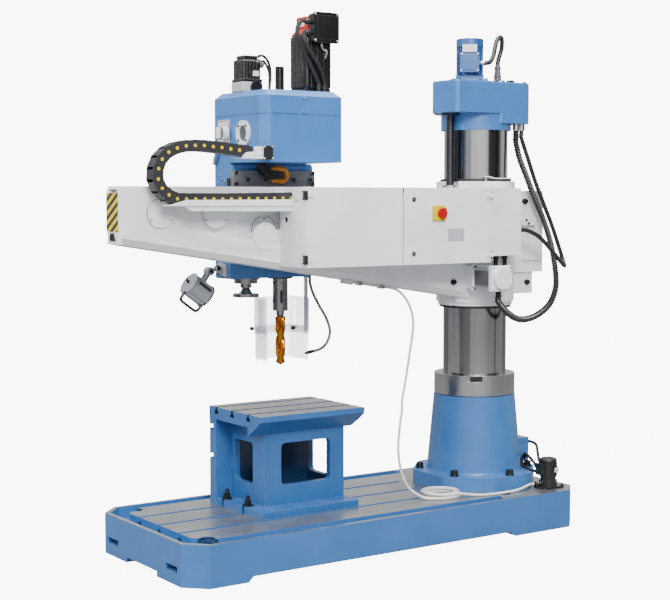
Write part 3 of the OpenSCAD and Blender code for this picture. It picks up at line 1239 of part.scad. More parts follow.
module guard_upper() color([0.8, 0.85, 0.95, 0.4]) {
  difference() {
    slab(at_spindle(guard_outline(0)), guard_z1 - 165, guard_z1);
    for (p = guard_knobs) block(spindle_x + p.x*guard_half - 5, spindle_x + p.x*guard_half + 5,
      spindle_y + p.y - 4, spindle_y + p.y + 4, guard_z1 - 150, guard_z1 - 12);
  }
  difference() {
    union() {
      rod(rod_gx, rod_gy, guard_z1 - 150, guard_z1 - 4, 28);
      block(spindle_x + guard_half, rod_gx, rod_gy - 24, rod_gy + 8, guard_z1 - 146, guard_z1 - 8);
    }
    rod(rod_gx, rod_gy, guard_z1 - 160, guard_z1 + 4, guard_rod_d + 2*fit);
    block(spindle_x + 80, spindle_x + guard_half, rod_gy - 40, rod_gy + 40, guard_z1 - 160, guard_z1 + 4);
  }
}

module guard_lower() color([0.8, 0.85, 0.95, 0.4]) {
  slab(at_spindle(guard_outline(guard_t + gap)), guard_z1 - 281, guard_z1 - 130);
  for (p = guard_knobs) translate([spindle_x, spindle_y + p.y, guard_z1 - 140]) rotate([0, p.x*90, 0]) {
    translate([0, 0, guard_half - guard_t - gap - 0.5]) cylinder(d = 7.4, h = 14);
    translate([0, 0, guard_half + gap]) cylinder(d = 14, h = 16);
  }
}

base_casting();
column_foot();
foot_bolts();
inner_column();
box_table();
table_bolts();
coolant_pump();
junction_box();
pump_cables();
hose_coil();
hose_to_pump();
hose_riser();
outer_column();
column_ring();
column_cap();
cap_lid();
lift_motor();
lift_motor_cable();
conduit_ribbed();
conduit_smooth();
lift_screw();
arm_casting();
arm_fittings();
guideways();
arm_seals();
lift_nut();
cabinet_body();
cabinet_hinges();
clamp_motor();
chain_tray();
chain_lower();
hose_on_arm();
chain_loop();
door_left();
door_right();
switch_plate();
switch_knob();
lock_upper();
lock_lower();
head_body();
head_gearbox();
head_cover();
saddle_plates();
main_motor();
motor_box();
motor_cables();
feed_servo();
head_fittings();
coolant_nozzle();
chain_upper();
selector_knob();
feed_lever();
handwheel();
lamp_arm();
lamp_head();
quill();
spindle();
twist_drill();
guard_upper();
guard_lower();
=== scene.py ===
"""Looks of a radial arm drill: finishes, rounded castings, cables, hoses and small fittings, set on the CAD frame."""
import logging
import math
from contextlib import contextmanager
from dataclasses import dataclass
from enum import Enum
from typing import Callable, Iterable, Iterator, Sequence

import bpy
from mathutils import Matrix, Vector


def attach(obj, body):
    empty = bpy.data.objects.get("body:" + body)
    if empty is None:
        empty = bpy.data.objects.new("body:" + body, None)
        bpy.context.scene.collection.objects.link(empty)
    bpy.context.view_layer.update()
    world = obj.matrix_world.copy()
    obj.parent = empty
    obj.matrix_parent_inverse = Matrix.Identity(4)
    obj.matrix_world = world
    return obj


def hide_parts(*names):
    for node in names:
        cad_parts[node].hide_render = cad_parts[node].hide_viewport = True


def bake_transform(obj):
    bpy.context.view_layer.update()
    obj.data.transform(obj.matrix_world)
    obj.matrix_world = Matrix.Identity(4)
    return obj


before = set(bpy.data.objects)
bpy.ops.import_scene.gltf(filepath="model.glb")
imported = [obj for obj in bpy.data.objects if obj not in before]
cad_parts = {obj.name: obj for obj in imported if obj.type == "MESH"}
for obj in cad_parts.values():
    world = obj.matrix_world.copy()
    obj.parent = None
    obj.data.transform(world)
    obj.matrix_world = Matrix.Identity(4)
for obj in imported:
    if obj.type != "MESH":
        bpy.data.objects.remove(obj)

LOG = logging.getLogger("drill")
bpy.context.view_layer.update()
MM = 0.001
UP, FRONT, LEFT, RIGHT = (0, 0, 1), (0, -1, 0), (-1, 0, 0), (1, 0, 0)
Point = Sequence[float]
Pair = tuple[float, float]
Spot = tuple[float, float, float]
Colour = tuple[float, float, float, float]
Piece = bpy.types.Object
Socket = bpy.types.NodeSocket
NodeTree = bpy.types.NodeTree
Node = bpy.types.Node

# The arm's underside in metres: its height at the free end, and how far it falls per metre from there
ARM_TIP, ARM_TIP_UNDERSIDE, ARM_FALL = -1.063, 1.350, 0.15768
# How finely castings are cleaned and shaded
MERGE_GAP, FLAT_ANGLE, SHARP_ANGLE = 0.00002, math.radians(0.8), math.radians(40)
TUBE_ANGLE, FLUTE_ANGLE = math.radians(50), math.radians(42)


class Axis(Enum):
    """The frame's axes, as unit directions."""

    X = (1.0, 0.0, 0.0)
    Y = (0.0, 1.0, 0.0)
    Z = (0.0, 0.0, 1.0)

    @property
    def vector(self) -> Vector:
        """The axis as a vector."""
        return Vector(self.value)


def shade(red: int, green: int, blue: int) -> Colour:
    """Turns screen colour values from 0 to 255 into a linear colour.

    Args:
        red: Red, as a screen shows it.
        green: Green, as a screen shows it.
        blue: Blue, as a screen shows it.

    Returns:
        The linear colour with full alpha.
    """
    def linear(value: float) -> float:
        """One channel, made linear."""
        return value / 12.92 if value <= 0.04045 else ((value + 0.055) / 1.055) ** 2.4

    return (linear(red / 255), linear(green / 255), linear(blue / 255), 1.0)


def mm(*values: float) -> tuple[float, ...]:
    """Millimetres as metres."""
    return tuple(value * MM for value in values)


def mark(*values: float) -> Vector:
    """A point given in millimetres."""
    return Vector(mm(*values))


def marked(spots: Iterable[Point]) -> list[Vector]:
    """Points given in millimetres."""
    return [mark(*values) for values in spots]


def shift(*values: float) -> Matrix:
    """A move given in millimetres."""
    return Matrix.Translation(mark(*values))


def spin(degrees: float, axis: str = "Z") -> Matrix:
    """A turn about an axis through the origin."""
    return Matrix.Rotation(math.radians(degrees), 4, axis)


def round_about(centre: Point, radius: float, degrees: Iterable[float]) -> list[Pair]:
    """Places on a circle in a plane, at some angles.

    Args:
        centre: The circle's middle in its plane.
        radius: Its radius, in the middle's unit.
        degrees: The angles.

    Returns:
        The places, as pairs.
    """
    return [(centre[0] + radius * math.cos(math.radians(angle)), centre[1] + radius * math.sin(math.radians(angle)))
            for angle in degrees]


def under_arm(x: float) -> float:
    """The height of the arm's underside, in metres, at a place along it."""
    return ARM_TIP_UNDERSIDE - ARM_FALL * (x - ARM_TIP)


# Node groups


class Nodes:
    """A small hand for wiring one node tree."""

    def __init__(self, tree: NodeTree) -> None:
        """Keeps the tree that is wired, and its shader if it has one."""
        self.tree, self.shader = tree, tree.nodes.get("Principled BSDF")

    def add(self, kind: str, links: dict | None = None, **settings: object) -> Node:
        """Adds a node, sets its properties and fills its inputs.

        Args:
            kind: The node's type name.
            links: Input name or index, to a socket or a constant.
            settings: Properties of the node.

        Returns:
            The new node.
        """
        node = self.tree.nodes.new(kind)
        for name, value in settings.items():
            setattr(node, name, value)
        self.fill(node, links or {})
        return node

    def fill(self, node: Node, links: dict) -> None:
        """Links a node's inputs to sockets, or sets them to constants.

        Args:
            node: The node.
            links: Input name or index, to a socket or a constant.
        """
        for name, value in links.items():
            if isinstance(value, Socket):
                self.tree.links.new(value, node.inputs[name])
            else:
                node.inputs[name].default_value = value

    def math(self, operation: str, first: object, second: object = 0.5, clamp: bool = False) -> Socket:
        """One arithmetic step on two sockets or numbers."""
        node = self.add("ShaderNodeMath", {0: first, 1: second}, operation=operation, use_clamp=clamp)
        return node.outputs[0]

    def times(self, first: object, second: object, clamp: bool = False) -> Socket:
        """The product of two sockets or numbers."""
        return self.math("MULTIPLY", first, second, clamp)

    def plus(self, first: object, second: object, clamp: bool = False) -> Socket:
        """The sum of two sockets or numbers."""
        return self.math("ADD", first, second, clamp)

    def between(self, factor: object, first: object, second: object) -> Socket:
        """Goes from one value to another as a factor goes from 0 to 1."""
        return self.plus(self.times(first, self.math("SUBTRACT", 1.0, factor)), self.times(factor, second))

    def ramp(self, value: object, low: float, high: float) -> Socket:
        """Maps a range to 0 to 1, smoothly and clamped."""
        node = self.add("ShaderNodeMapRange", {"Value": value, "From Min": low, "From Max": high},
                        interpolation_type="SMOOTHSTEP")
        return node.outputs["Result"]

    def mix(self, factor: object, first: object, second: object) -> Socket:
        """Mixes two colours."""
        node = self.add("ShaderNodeMix", {0: factor, 6: first, 7: second}, data_type="RGBA")
        return node.outputs[2]

    def noise(self, vector: object, scale: float, detail: float = 3.0, rough: float = 0.55) -> Socket:
        """A noise value over a vector."""
        node = self.add("ShaderNodeTexNoise", {"Vector": vector, "Scale": scale, "Detail": detail, "Roughness": rough})
        return node.outputs["Fac"]

    def stretched(self, scale: Point = (1, 1, 1)) -> Socket:
        """Object coordinates, scaled by axis."""
        place = self.add("ShaderNodeTexCoord")
        return self.add("ShaderNodeMapping", {"Vector": place.outputs["Object"], "Scale": scale}).outputs["Vector"]

    def bump(self, height: object, strength: float, depth: float) -> Node:
        """Feeds a height into the shader's normal.

        Args:
            height: The height.
            strength: How strongly it shows.
            depth: The distance that a height of 1 stands for, in metres.

        Returns:
            The bump's node.
        """
        node = self.add("ShaderNodeBump", {"Height": height, "Strength": strength, "Distance": depth})
        self.fill(self.shader, {"Normal": node.outputs[0]})
        return node

    def axes(self, kind: str, output: str) -> dict[str, Socket]:
        """X, Y and Z of the vector that a new node gives.

        Args:
            kind: The new node's type name.
            output: The name of its output.

        Returns:
            The three values by axis.
        """
        source = self.add(kind)
        split = self.add("ShaderNodeSeparateXYZ", {"Vector": source.outputs[output]})
        return {axis: split.outputs[axis] for axis in "XYZ"}


def new_group(name: str, inputs: dict[str, float], outputs: Iterable[str]) -> tuple[NodeTree, Nodes]:
    """Starts a shader node group with float sockets.

    Args:
        name: The group's name.
        inputs: Input names and their default values.
        outputs: Output names.

    Returns:
        The group and a hand for wiring it.
    """
    group = bpy.data.node_groups.new(name, "ShaderNodeTree")
    for key, value in inputs.items():
        socket = group.interface.new_socket(key, in_out="INPUT", socket_type="NodeSocketFloat")
        socket.default_value = value
    for key in outputs:
        group.interface.new_socket(key, in_out="OUTPUT", socket_type="NodeSocketFloat")
    return group, Nodes(group)


def wear_group() -> NodeTree:
    """Edge wear, dust and grime masks, from the surface's own shape and place.

    Returns:
        The group, with outputs Edge, Dust and Blotch.
    """
    group, hand = new_group("wear_masks", {"Width": 0.004, "Breakup": 60.0}, ("Edge", "Dust", "Blotch"))
    entry, leave = hand.add("NodeGroupInput"), hand.add("NodeGroupOutput")
    bevel = hand.add("ShaderNodeBevel", {"Radius": entry.outputs["Width"]}, samples=3)
    surface = hand.add("ShaderNodeNewGeometry")
    turn = hand.add("ShaderNodeVectorMath", {0: bevel.outputs[0], 1: surface.outputs["Normal"]},
                    operation="DOT_PRODUCT")
    place = hand.stretched()
    speck = hand.add("ShaderNodeTexNoise", {"Vector": place, "Scale": entry.outputs["Breakup"], "Detail": 4.0})
    sharp = hand.ramp(turn.outputs["Value"], 0.985, 0.9)
    edge = hand.times(sharp, hand.ramp(speck.outputs["Fac"], 0.48, 0.62), True)
    up = hand.add("ShaderNodeSeparateXYZ", {"Vector": surface.outputs["Normal"]})
    cloud = hand.noise(place, 9.0, 5.0, 0.6)
    dust = hand.times(hand.ramp(up.outputs["Z"], 0.5, 1.0), hand.ramp(cloud, 0.35, 0.75), True)
    hand.fill(leave, {"Edge": edge, "Dust": dust, "Blotch": hand.noise(place, 3.5, 4.0, 0.6)})
    return group


def grain_group() -> NodeTree:
    """Fine parallel grinding lines with a few deeper ones.

    Returns:
        The group, with scales along X, Y and Z and the output Lines.
    """
    group, hand = new_group("grinding_lines", {"Along X": 20.0, "Along Y": 20.0, "Along Z": 900.0}, ("Lines",))
    entry, leave = hand.add("NodeGroupInput"), hand.add("NodeGroupOutput")
    place = hand.add("ShaderNodeTexCoord")
    scale = hand.add("ShaderNodeCombineXYZ", {"X": entry.outputs[0], "Y": entry.outputs[1], "Z": entry.outputs[2]})
    spread_out = hand.add("ShaderNodeVectorMath", {0: place.outputs["Object"], 1: scale.outputs[0]},
                          operation="MULTIPLY").outputs[0]
    fine, coarse = hand.noise(spread_out, 1.0, 2.0, 0.6), hand.noise(spread_out, 0.21, 3.0, 0.6)
    hand.fill(leave, {"Lines": hand.plus(hand.times(fine, 0.6), hand.times(coarse, 0.4))})
    return group


GROUPS: dict[str, NodeTree] = {}


def group_node(hand: Nodes, maker: Callable[[], NodeTree], **values: float) -> dict[str, Socket]:
    """Places a shared group in a material.

    Args:
        hand: The material's wiring hand.
        maker: Makes the group the first time.
        values: Input values, with spaces written as underscores.

    Returns:
        The group's outputs by name.
    """
    if maker.__name__ not in GROUPS:
        GROUPS[maker.__name__] = maker()
    node = hand.add("ShaderNodeGroup", node_tree=GROUPS[maker.__name__])
    for key, value in values.items():
        node.inputs[key.replace("_", " ")].default_value = value
    return {output.name: output for output in node.outputs}


# Finishes


@dataclass(frozen=True)
class Finish:
    """One finish. Subclasses wire its nodes."""

    name: str
    color: Colour
    roughness: float = 0.4
    slot: str = ""

    def material(self) -> bpy.types.Material:
        """The finish's material, made once.

        Returns:
            The material.
        """
        if self.name in bpy.data.materials:
            return bpy.data.materials[self.name]
        made = bpy.data.materials.new(self.name)
        made.use_nodes = True
        made.diffuse_color = self.color
        hand = Nodes(made.node_tree)
        hand.shader.inputs["Base Color"].default_value = self.color
        hand.shader.inputs["Roughness"].default_value = self.roughness
        self.wire(hand)
        return made

    def toned(self, factor: float, lift: float = 0.0) -> Colour:
        """The finish's colour, scaled and lifted."""
        return (*(min(1.0, value * factor + lift) for value in self.color[:3]), 1.0)

    def wire(self, hand: Nodes) -> None:
        """Adds the finish's own nodes."""


@dataclass(frozen=True)
class Enamel(Finish):
    """Sprayed machine enamel on a filled casting, with orange peel, grime, worn edges and painted shade in given
    recesses.
    """

    worn: Colour = (0.35, 0.35, 0.36, 1.0)
    peel: float = 0.12
    edge: float = 0.55
    machined: tuple[tuple[str, float], ...] = ()
    hollow: bool = False
    # Recess boxes where shade is painted dark into the colour
    painted_shade_boxes: tuple[tuple[float, ...], ...] = ()

    def wire(self, hand: Nodes) -> None:
        """Paint, with bare ground metal where the casting was machined after painting.

        Args:
            hand: The material's wiring hand.
        """
        wear = group_node(hand, wear_group, Width=0.0035, Breakup=75.0)
        place = hand.stretched()
        base = hand.mix(hand.ramp(wear["Blotch"], 0.3, 0.7), self.toned(0.93), self.toned(1.05, 0.006))
        base = hand.mix(hand.times(wear["Dust"], 0.22), base, self.toned(0.7, 0.2))
        base = hand.mix(hand.times(wear["Edge"], self.edge), base, self.worn)
        # Painted shade: the paint is darkened inside the recess boxes, where little light reaches
        if self.painted_shade_boxes:
            base = hand.mix(hand.times(self.painted_shade_mask(hand), 0.9), base, self.toned(0.16))
        peel, swell = hand.noise(place, 420.0, 2.0, 0.5), hand.noise(place, 14.0, 2.0, 0.5)
        height = hand.plus(hand.times(peel, 0.5), swell)
        rough = hand.plus(hand.times(wear["Blotch"], 0.16), self.roughness - 0.08)
        if self.machined:
            bare, lines = self.bare_mask(hand)
            steel = hand.mix(hand.ramp(lines, 0.3, 0.7), shade(128, 130, 133), shade(196, 198, 201))
            oil = hand.times(hand.ramp(wear["Blotch"], 0.42, 0.6), 0.35)
            base = hand.mix(bare, base, hand.mix(oil, steel, shade(120, 121, 122)))
            rough = hand.between(bare, rough, hand.plus(hand.times(lines, 0.25), 0.2))
            height = hand.between(bare, height, lines)
            hand.fill(hand.shader, {"Metallic": hand.times(bare, 0.85)})
        hand.fill(hand.shader, {"Base Color": base, "Roughness": rough})
        hand.shader.inputs["Coat Weight"].default_value = 0.12
        hand.shader.inputs["Coat Roughness"].default_value = 0.18
        skin_bump = hand.bump(height, self.peel, 0.0006)
        if self.hollow:
            sunk = hand.add("ShaderNodeBump", {"Height": self.scoop(hand), "Strength": 1.0, "Distance": 1.0})
            hand.fill(skin_bump, {"Normal": sunk.outputs[0]})

    def painted_shade_mask(self, hand: Nodes) -> Socket:
        """Where shade is painted into the colour: inside recess boxes given by their lowest and highest corners.

        Args:
            hand: The material's wiring hand.

        Returns:
            The mask.
        """
        at, mask = hand.axes("ShaderNodeTexCoord", "Object"), 0.0
        for box in self.painted_shade_boxes:
            one = 1.0
            for axis, low, high in zip("XYZ", box[:3], box[3:]):
                one = hand.times(one, hand.times(hand.math("GREATER_THAN", at[axis], low),
                                                 hand.math("LESS_THAN", at[axis], high)))
            mask = hand.plus(mask, one, True)
        return mask

    def scoop(self, hand: Nodes) -> Socket:
        """The arm's hollow side: sunk above its lower lip and rising to its top.

        Args:
            hand: The material's wiring hand.

        Returns:
            The height in metres.
        """
        lip, hollow_top, steepness = 0.05, 0.2, 0.42
        at = hand.axes("ShaderNodeTexCoord", "Object")
        facing = hand.axes("ShaderNodeNewGeometry", "True Normal")
        over = hand.math("SUBTRACT", hand.plus(at["Z"], hand.times(at["X"], ARM_FALL)), under_arm(0.0) + lip)
        rise = hand.times(hand.math("SUBTRACT", hollow_top, over), steepness)
        inside = hand.times(hand.ramp(over, -0.03, 0.06), hand.ramp(at["X"], -0.96, -0.6))
        inside = hand.times(inside, hand.math("LESS_THAN", facing["Y"], -0.8))
        inside = hand.times(inside, hand.math("LESS_THAN", at["X"], -0.3))
        return hand.times(hand.times(rise, inside), -1.0)

    def bare_mask(self, hand: Nodes) -> tuple[Socket, Socket]:
        """Where the casting is machined: faces that look along an axis, beyond a place on it.

        Args:
            hand: The material's wiring hand.

        Returns:
            The mask and the machining lines.
        """
        at = hand.axes("ShaderNodeTexCoord", "Object")
        facing = hand.axes("ShaderNodeNewGeometry", "True Normal")
        mask: object = 0.0
        for axis, limit in self.machined:
            sign = 1.0 if limit > 0 else -1.0
            past = hand.math("GREATER_THAN", hand.times(at[axis], sign), abs(limit))
            faces = hand.math("GREATER_THAN", hand.times(facing[axis], sign), 0.8)
            mask = hand.plus(mask, hand.times(past, faces), True)
        return mask, group_node(hand, grain_group, Along_X=14.0, Along_Y=700.0, Along_Z=40.0)["Lines"]


@dataclass(frozen=True)
class Metal(Finish):
    """Bare metal with turning or grinding lines across one axis, and optional painted reflection streaks."""

    lines: Spot = (25.0, 25.0, 900.0)
    contrast: float = 0.12
    depth: float = 0.08
    stain: float = 0.25
    # Strength of dark upright streaks painted in as reflections of the studio
    painted_reflection_bands: float = 0.0

    def wire(self, hand: Nodes) -> None:
        """Metal with fine lines, a film of old oil and optional painted reflection streaks.

        Args:
            hand: The material's wiring hand.
        """
        hand.shader.inputs["Metallic"].default_value = 1.0
        scales = dict(zip(("Along_X", "Along_Y", "Along_Z"), self.lines))
        grain = group_node(hand, grain_group, **scales)["Lines"]
        wear = group_node(hand, wear_group, Width=0.0015, Breakup=120.0)
        base = hand.mix(hand.ramp(grain, 0.3, 0.7), self.toned(1 - self.contrast * 2), self.color)
        base = hand.mix(hand.times(hand.ramp(wear["Blotch"], 0.45, 0.7), self.stain), base, self.toned(0.62))
        # Painted reflection: dark upright streaks stand in for studio bands mirrored in the metal
        if self.painted_reflection_bands:
            wide = hand.noise(hand.stretched((1, 1, 0.001)), 17.0, 2.0, 0.55)
            base = hand.mix(hand.times(hand.ramp(wide, 0.5, 0.57), self.painted_reflection_bands), base, self.toned(0.3))
        base = hand.mix(hand.times(wear["Edge"], 0.5), base, self.toned(1.35, 0.05))
        rough = hand.plus(hand.times(grain, self.contrast), self.roughness - self.contrast / 2)
        hand.fill(hand.shader, {"Base Color": base, "Roughness": rough})
        hand.bump(grain, self.depth, 0.0003)


@dataclass(frozen=True)
class Moulded(Finish):
    """Moulded plastic or rubber with a fine grain, grime and pale scuffs."""

    grain: float = 0.15
    scale: float = 600.0
    scuff: float = 0.45
    gloss: float = 0.5

    def wire(self, hand: Nodes) -> None:
        """Plastic with a sparkle of grain.

        Args:
            hand: The material's wiring hand.
        """
        wear = group_node(hand, wear_group, Width=0.002, Breakup=140.0)
        place, pale = hand.stretched(), self.toned(0.8, 0.06)
        base = hand.mix(hand.ramp(wear["Blotch"], 0.3, 0.7), self.toned(0.75), self.color)
        base = hand.mix(hand.times(wear["Dust"], self.scuff * 0.55), base, pale)
        base = hand.mix(hand.times(wear["Edge"], self.scuff), base, pale)
        speck = hand.noise(place, self.scale, 3.0, 0.6)
        rough = hand.plus(hand.times(speck, 0.18), self.roughness - 0.09)
        hand.fill(hand.shader, {"Base Color": base, "Roughness": rough})
        hand.shader.inputs["Specular IOR Level"].default_value = self.gloss
        hand.bump(speck, self.grain, 0.0004)


@dataclass(frozen=True)
class Clear(Finish):
    """Clear sheet or glass, with hazier scuffed patches."""

    alpha: float = 0.2

    def wire(self, hand: Nodes) -> None:
        """Thin clear plastic: mostly see-through, brighter at a glancing angle.

        Args:
            hand: The material's wiring hand.
        """
        haze = hand.noise(hand.stretched(), 30.0, 5.0, 0.7)
        glance = hand.add("ShaderNodeLayerWeight", {"Blend": 0.35})
        body = hand.plus(hand.times(glance.outputs["Facing"], 0.45), hand.times(haze, self.alpha * 0.6))
        hand.fill(hand.shader, {"Alpha": hand.plus(body, self.alpha * 0.7, True),
                                "Roughness": hand.plus(hand.times(haze, 0.15), self.roughness)})
        hand.shader.inputs["Specular IOR Level"].default_value = 0.6


@dataclass(frozen=True)
class Striped(Finish):
    """Two-tone diagonal safety stripes."""

    other: Colour = (0.02, 0.02, 0.02, 1.0)
    pitch: float = 0.05

    def wire(self, hand: Nodes) -> None:
        """Stripes across Y and Z, slightly scuffed.

        Args:
            hand: The material's wiring hand.
        """
        at = hand.axes("ShaderNodeTexCoord", "Object")
        slant = hand.plus(hand.times(at["Y"], 0.62), at["Z"])
        wave = hand.math("FRACT", hand.times(slant, 1 / self.pitch))
        base = hand.mix(hand.math("GREATER_THAN", wave, 0.5), self.color, self.other)
        wear = group_node(hand, wear_group, Width=0.002, Breakup=160.0)
        base = hand.mix(hand.times(wear["Edge"], 0.5), base, shade(170, 168, 150))
        hand.fill(hand.shader, {"Base Color": base})
        hand.bump(hand.noise(hand.stretched(), 300.0), 0.08, 0.0003)


SAFETY_YELLOW = (0.66, 0.50, 0.0, 1.0)
BOLT_X, BOLT_Y, BOLT_HALF, RECESS_LOW, RECESS_HIGH = 0.78, 0.32, 0.0315, 0.1, 0.1743
# Recess boxes in metres where shade is painted into the paint: lowest corner, then highest corner
BOLT_HOLES = tuple((x - BOLT_HALF, y - BOLT_HALF, RECESS_LOW, x + BOLT_HALF, y + BOLT_HALF, RECESS_HIGH)
                   for x in (-BOLT_X, BOLT_X) for y in (-BOLT_Y, BOLT_Y))
# The table's cavity and slot interiors, darkened with painted shade
TABLE_INSIDES = ((-0.33, -0.035, 0.215, 0.037, 0.192, 0.537), (-0.436, -0.15, 0.58, 0.102, 0.262, 0.6112))
BLUE = Enamel("enamel_blue", shade(52, 106, 168), 0.36, "blue_paint")
BLUE_BASE = Enamel("enamel_blue_base", shade(50, 104, 166), 0.38, "machine_blue_base", machined=(("Z", 0.1745),),
                   painted_shade_boxes=BOLT_HOLES)
BLUE_TABLE = Enamel("enamel_blue_table", shade(40, 92, 152), 0.38, "machine_blue_base",
                    machined=(("Z", 0.6113), ("Y", 0.2712)), painted_shade_boxes=TABLE_INSIDES)
BLUE_DARK = Enamel("enamel_blue_dark", shade(34, 80, 138), 0.34, "blue_paint")
WHITE = Enamel("enamel_white", shade(228, 232, 235), 0.34, "white_paint", shade(150, 150, 150), edge=0.3)
WHITE_ARM = Enamel("enamel_white_arm", shade(228, 232, 235), 0.34, "white_paint", shade(150, 150, 150), edge=0.3,
                   hollow=True)
WHITE_PLATE = Enamel("enamel_white_plate", shade(206, 208, 211), 0.3, "white_paint", shade(140, 140, 140), edge=0.3)
BLACK = Enamel("enamel_black", shade(17, 18, 20), 0.26, "black_paint", shade(110, 110, 112), edge=0.35)
RED_ENAMEL = Enamel("enamel_red", (0.42, 0.0, 0.004, 1.0), 0.45, "red_plastic", shade(120, 60, 60), edge=0.3)
KEEPER = Enamel("steel_keeper", shade(98, 99, 102), 0.4, "dark_iron", shade(170, 170, 172), peel=0.05)
ALLOY = Enamel("enamel_grey", shade(138, 144, 152), 0.34, "grey_aluminium", shade(190, 190, 190))
PLATE_GREY = Enamel("plate_grey", shade(168, 174, 182), 0.35, "grey_aluminium", shade(120, 120, 120), edge=0.2)
CAST_ALLOY = Enamel("cast_alloy", shade(170, 170, 174), 0.45, "grey_aluminium", shade(200, 200, 200), peel=0.3)
# Painted reflection: the column carries dark upright streaks standing in for mirrored studio bands
COLUMN = Metal("steel_column", shade(188, 189, 191), 0.15, "ground_steel", (3.0, 3.0, 1400.0), 0.05, 0.04, painted_reflection_bands=0.75)
GROUND = Metal("steel_ground", shade(184, 186, 189), 0.26, "ground_steel", (900.0, 14.0, 14.0), 0.08)
RAIL = Metal("steel_rail", shade(176, 178, 182), 0.24, "ground_steel", (10.0, 500.0, 900.0), 0.08)
TURNED = Metal("steel_turned", shade(190, 191, 193), 0.24, "bright_steel", (6.0, 6.0, 1800.0), 0.08)
PLATED = Metal("steel_plated", shade(206, 206, 204), 0.2, "bright_steel", (300.0, 300.0, 300.0), 0.06)
SPINDLE = Metal("steel_spindle", shade(150, 151, 154), 0.26, "bright_steel", (6.0, 6.0, 1600.0), 0.1)
OXIDE = Metal("black_oxide", shade(34, 34, 37), 0.36, "black_oxide", (250.0, 250.0, 250.0), 0.1)
DARK_STEEL = Metal("steel_dark", shade(74, 74, 78), 0.3, "dark_steel", (6.0, 6.0, 900.0), 0.1)
IRON = Metal("iron_dark", shade(62, 63, 67), 0.42, "dark_iron", (30.0, 200.0, 500.0))
GOLD = Metal("gold_coating", shade(190, 116, 34), 0.26, "coated_steel", (400.0, 400.0, 60.0), 0.06)
RIBBED = Moulded("conduit_black", shade(38, 39, 42), 0.26, "black_conduit", 0.1)
CHAIN = Moulded("chain_black", shade(42, 42, 46), 0.42, "black_plastic", 0.1)
RUBBER = Moulded("rubber_black", shade(22, 22, 24), 0.6, "black_rubber", 0.2)
PLASTIC = Moulded("plastic_black", shade(30, 30, 33), 0.4, "black_plastic", 0.12)
CONNECTOR = Moulded("plastic_grey", shade(92, 94, 98), 0.42, "black_plastic")
HOSE = Moulded("hose_white", shade(224, 224, 220), 0.42, "white_hose", 0.05, 200.0)
RED = Moulded("plastic_red", (0.42, 0.0, 0.002, 1.0), 0.5, "red_plastic", 0.04, scuff=0.05, gloss=0.25)
YELLOW = Moulded("plastic_yellow", SAFETY_YELLOW, 0.55, "yellow_plastic", 0.05, scuff=0.03, gloss=0.12)
ORANGE = Moulded("enamel_orange", (0.66, 0.22, 0.0, 1.0), 0.36, "yellow_plastic", 0.08, scuff=0.1)
CLEAR = Clear("clear_sheet", shade(222, 226, 246), 0.06, "clear_plastic", 0.3)
GLASS = Clear("sight_glass", shade(66, 70, 76), 0.12, "clear_plastic", 0.95)
STRIPES = Striped("safety_stripes", SAFETY_YELLOW, 0.55, "yellow_plastic", pitch=0.037)


# The bench: how pieces are modelled


def lay_down(obj: Piece | None = None) -> None:
    """Deselects everything, then makes one object active and selected.

    Args:
        obj: The object, or none to leave nothing selected.
    """
    if bpy.context.object and bpy.context.object.mode != "OBJECT":
        bpy.ops.object.mode_set(mode="OBJECT")
    for other in bpy.context.selected_objects:
        other.select_set(False)
    if obj:
        obj.select_set(True)
        bpy.context.view_layer.objects.active = obj


@contextmanager
def whole_mesh(solid: bool = True) -> Iterator[None]:
    """Opens the active mesh for editing with all of it selected, and closes it again.

    Args:
        solid: Whether its faces are turned outwards at the end.
    """
    bpy.ops.object.mode_set(mode="EDIT")
    bpy.ops.mesh.select_all(action="SELECT")
    yield
    if solid:
        bpy.ops.mesh.select_all(action="SELECT")
        bpy.ops.mesh.normals_make_consistent(inside=False)
    bpy.ops.object.mode_set(mode="OBJECT")


def settle(obj: Piece) -> None:
    """Puts an object's place into its mesh."""
    lay_down(obj)
    bpy.ops.object.transform_apply(location=True, rotation=True, scale=True)


def soften(obj: Piece, width: float, segments: int = 2, angle: float = 34.0) -> None:
    """Rounds an object's sharp edges and smooths its shading.

    Args:
        obj: The piece.
        width: The rounding's width in metres, or 0 for none.
        segments: Steps across the rounding.
        angle: Edges sharper than this many degrees are rounded.
    """
    lay_down(obj)
    if width > 0:
        bevel = obj.modifiers.new("rounding", "BEVEL")
        bevel.width, bevel.segments = width, segments
        bevel.limit_method, bevel.angle_limit = "ANGLE", math.radians(angle)
        bevel.use_clamp_overlap = True
        bevel.miter_outer = "MITER_ARC"
        bpy.ops.object.modifier_apply(modifier=bevel.name)
    bpy.ops.object.shade_smooth_by_angle(angle=SHARP_ANGLE)
    weigh = obj.modifiers.new("flat_faces", "WEIGHTED_NORMAL")
    weigh.keep_sharp = True
    bpy.ops.object.modifier_apply(modifier=weigh.name)


def turn_to(direction: Point) -> Matrix:
    """The rotation that takes +Z to a direction."""
    return Vector(UP).rotation_difference(Vector(direction)).to_matrix().to_4x4()


def block(name: str, low: Point, high: Point, rounding: float = 1.0, segments: int = 2) -> Piece:
    """A rounded block between two corners, in millimetres.

    Args:
        name: The piece's name.
        low: Its lowest corner.
        high: Its highest corner.
        rounding: Width of the edges' rounding, in millimetres.
        segments: Steps across the rounding.

    Returns:
        The block.
    """
    lay_down()
    centre = [(a + b) / 2 * MM for a, b in zip(low, high)]
    size = [abs(b - a) * MM for a, b in zip(low, high)]
    bpy.ops.mesh.primitive_cube_add(size=1, location=centre, scale=size)
    obj = bpy.context.object
    obj.name = name
    settle(obj)
    soften(obj, rounding * MM, segments)
    return obj


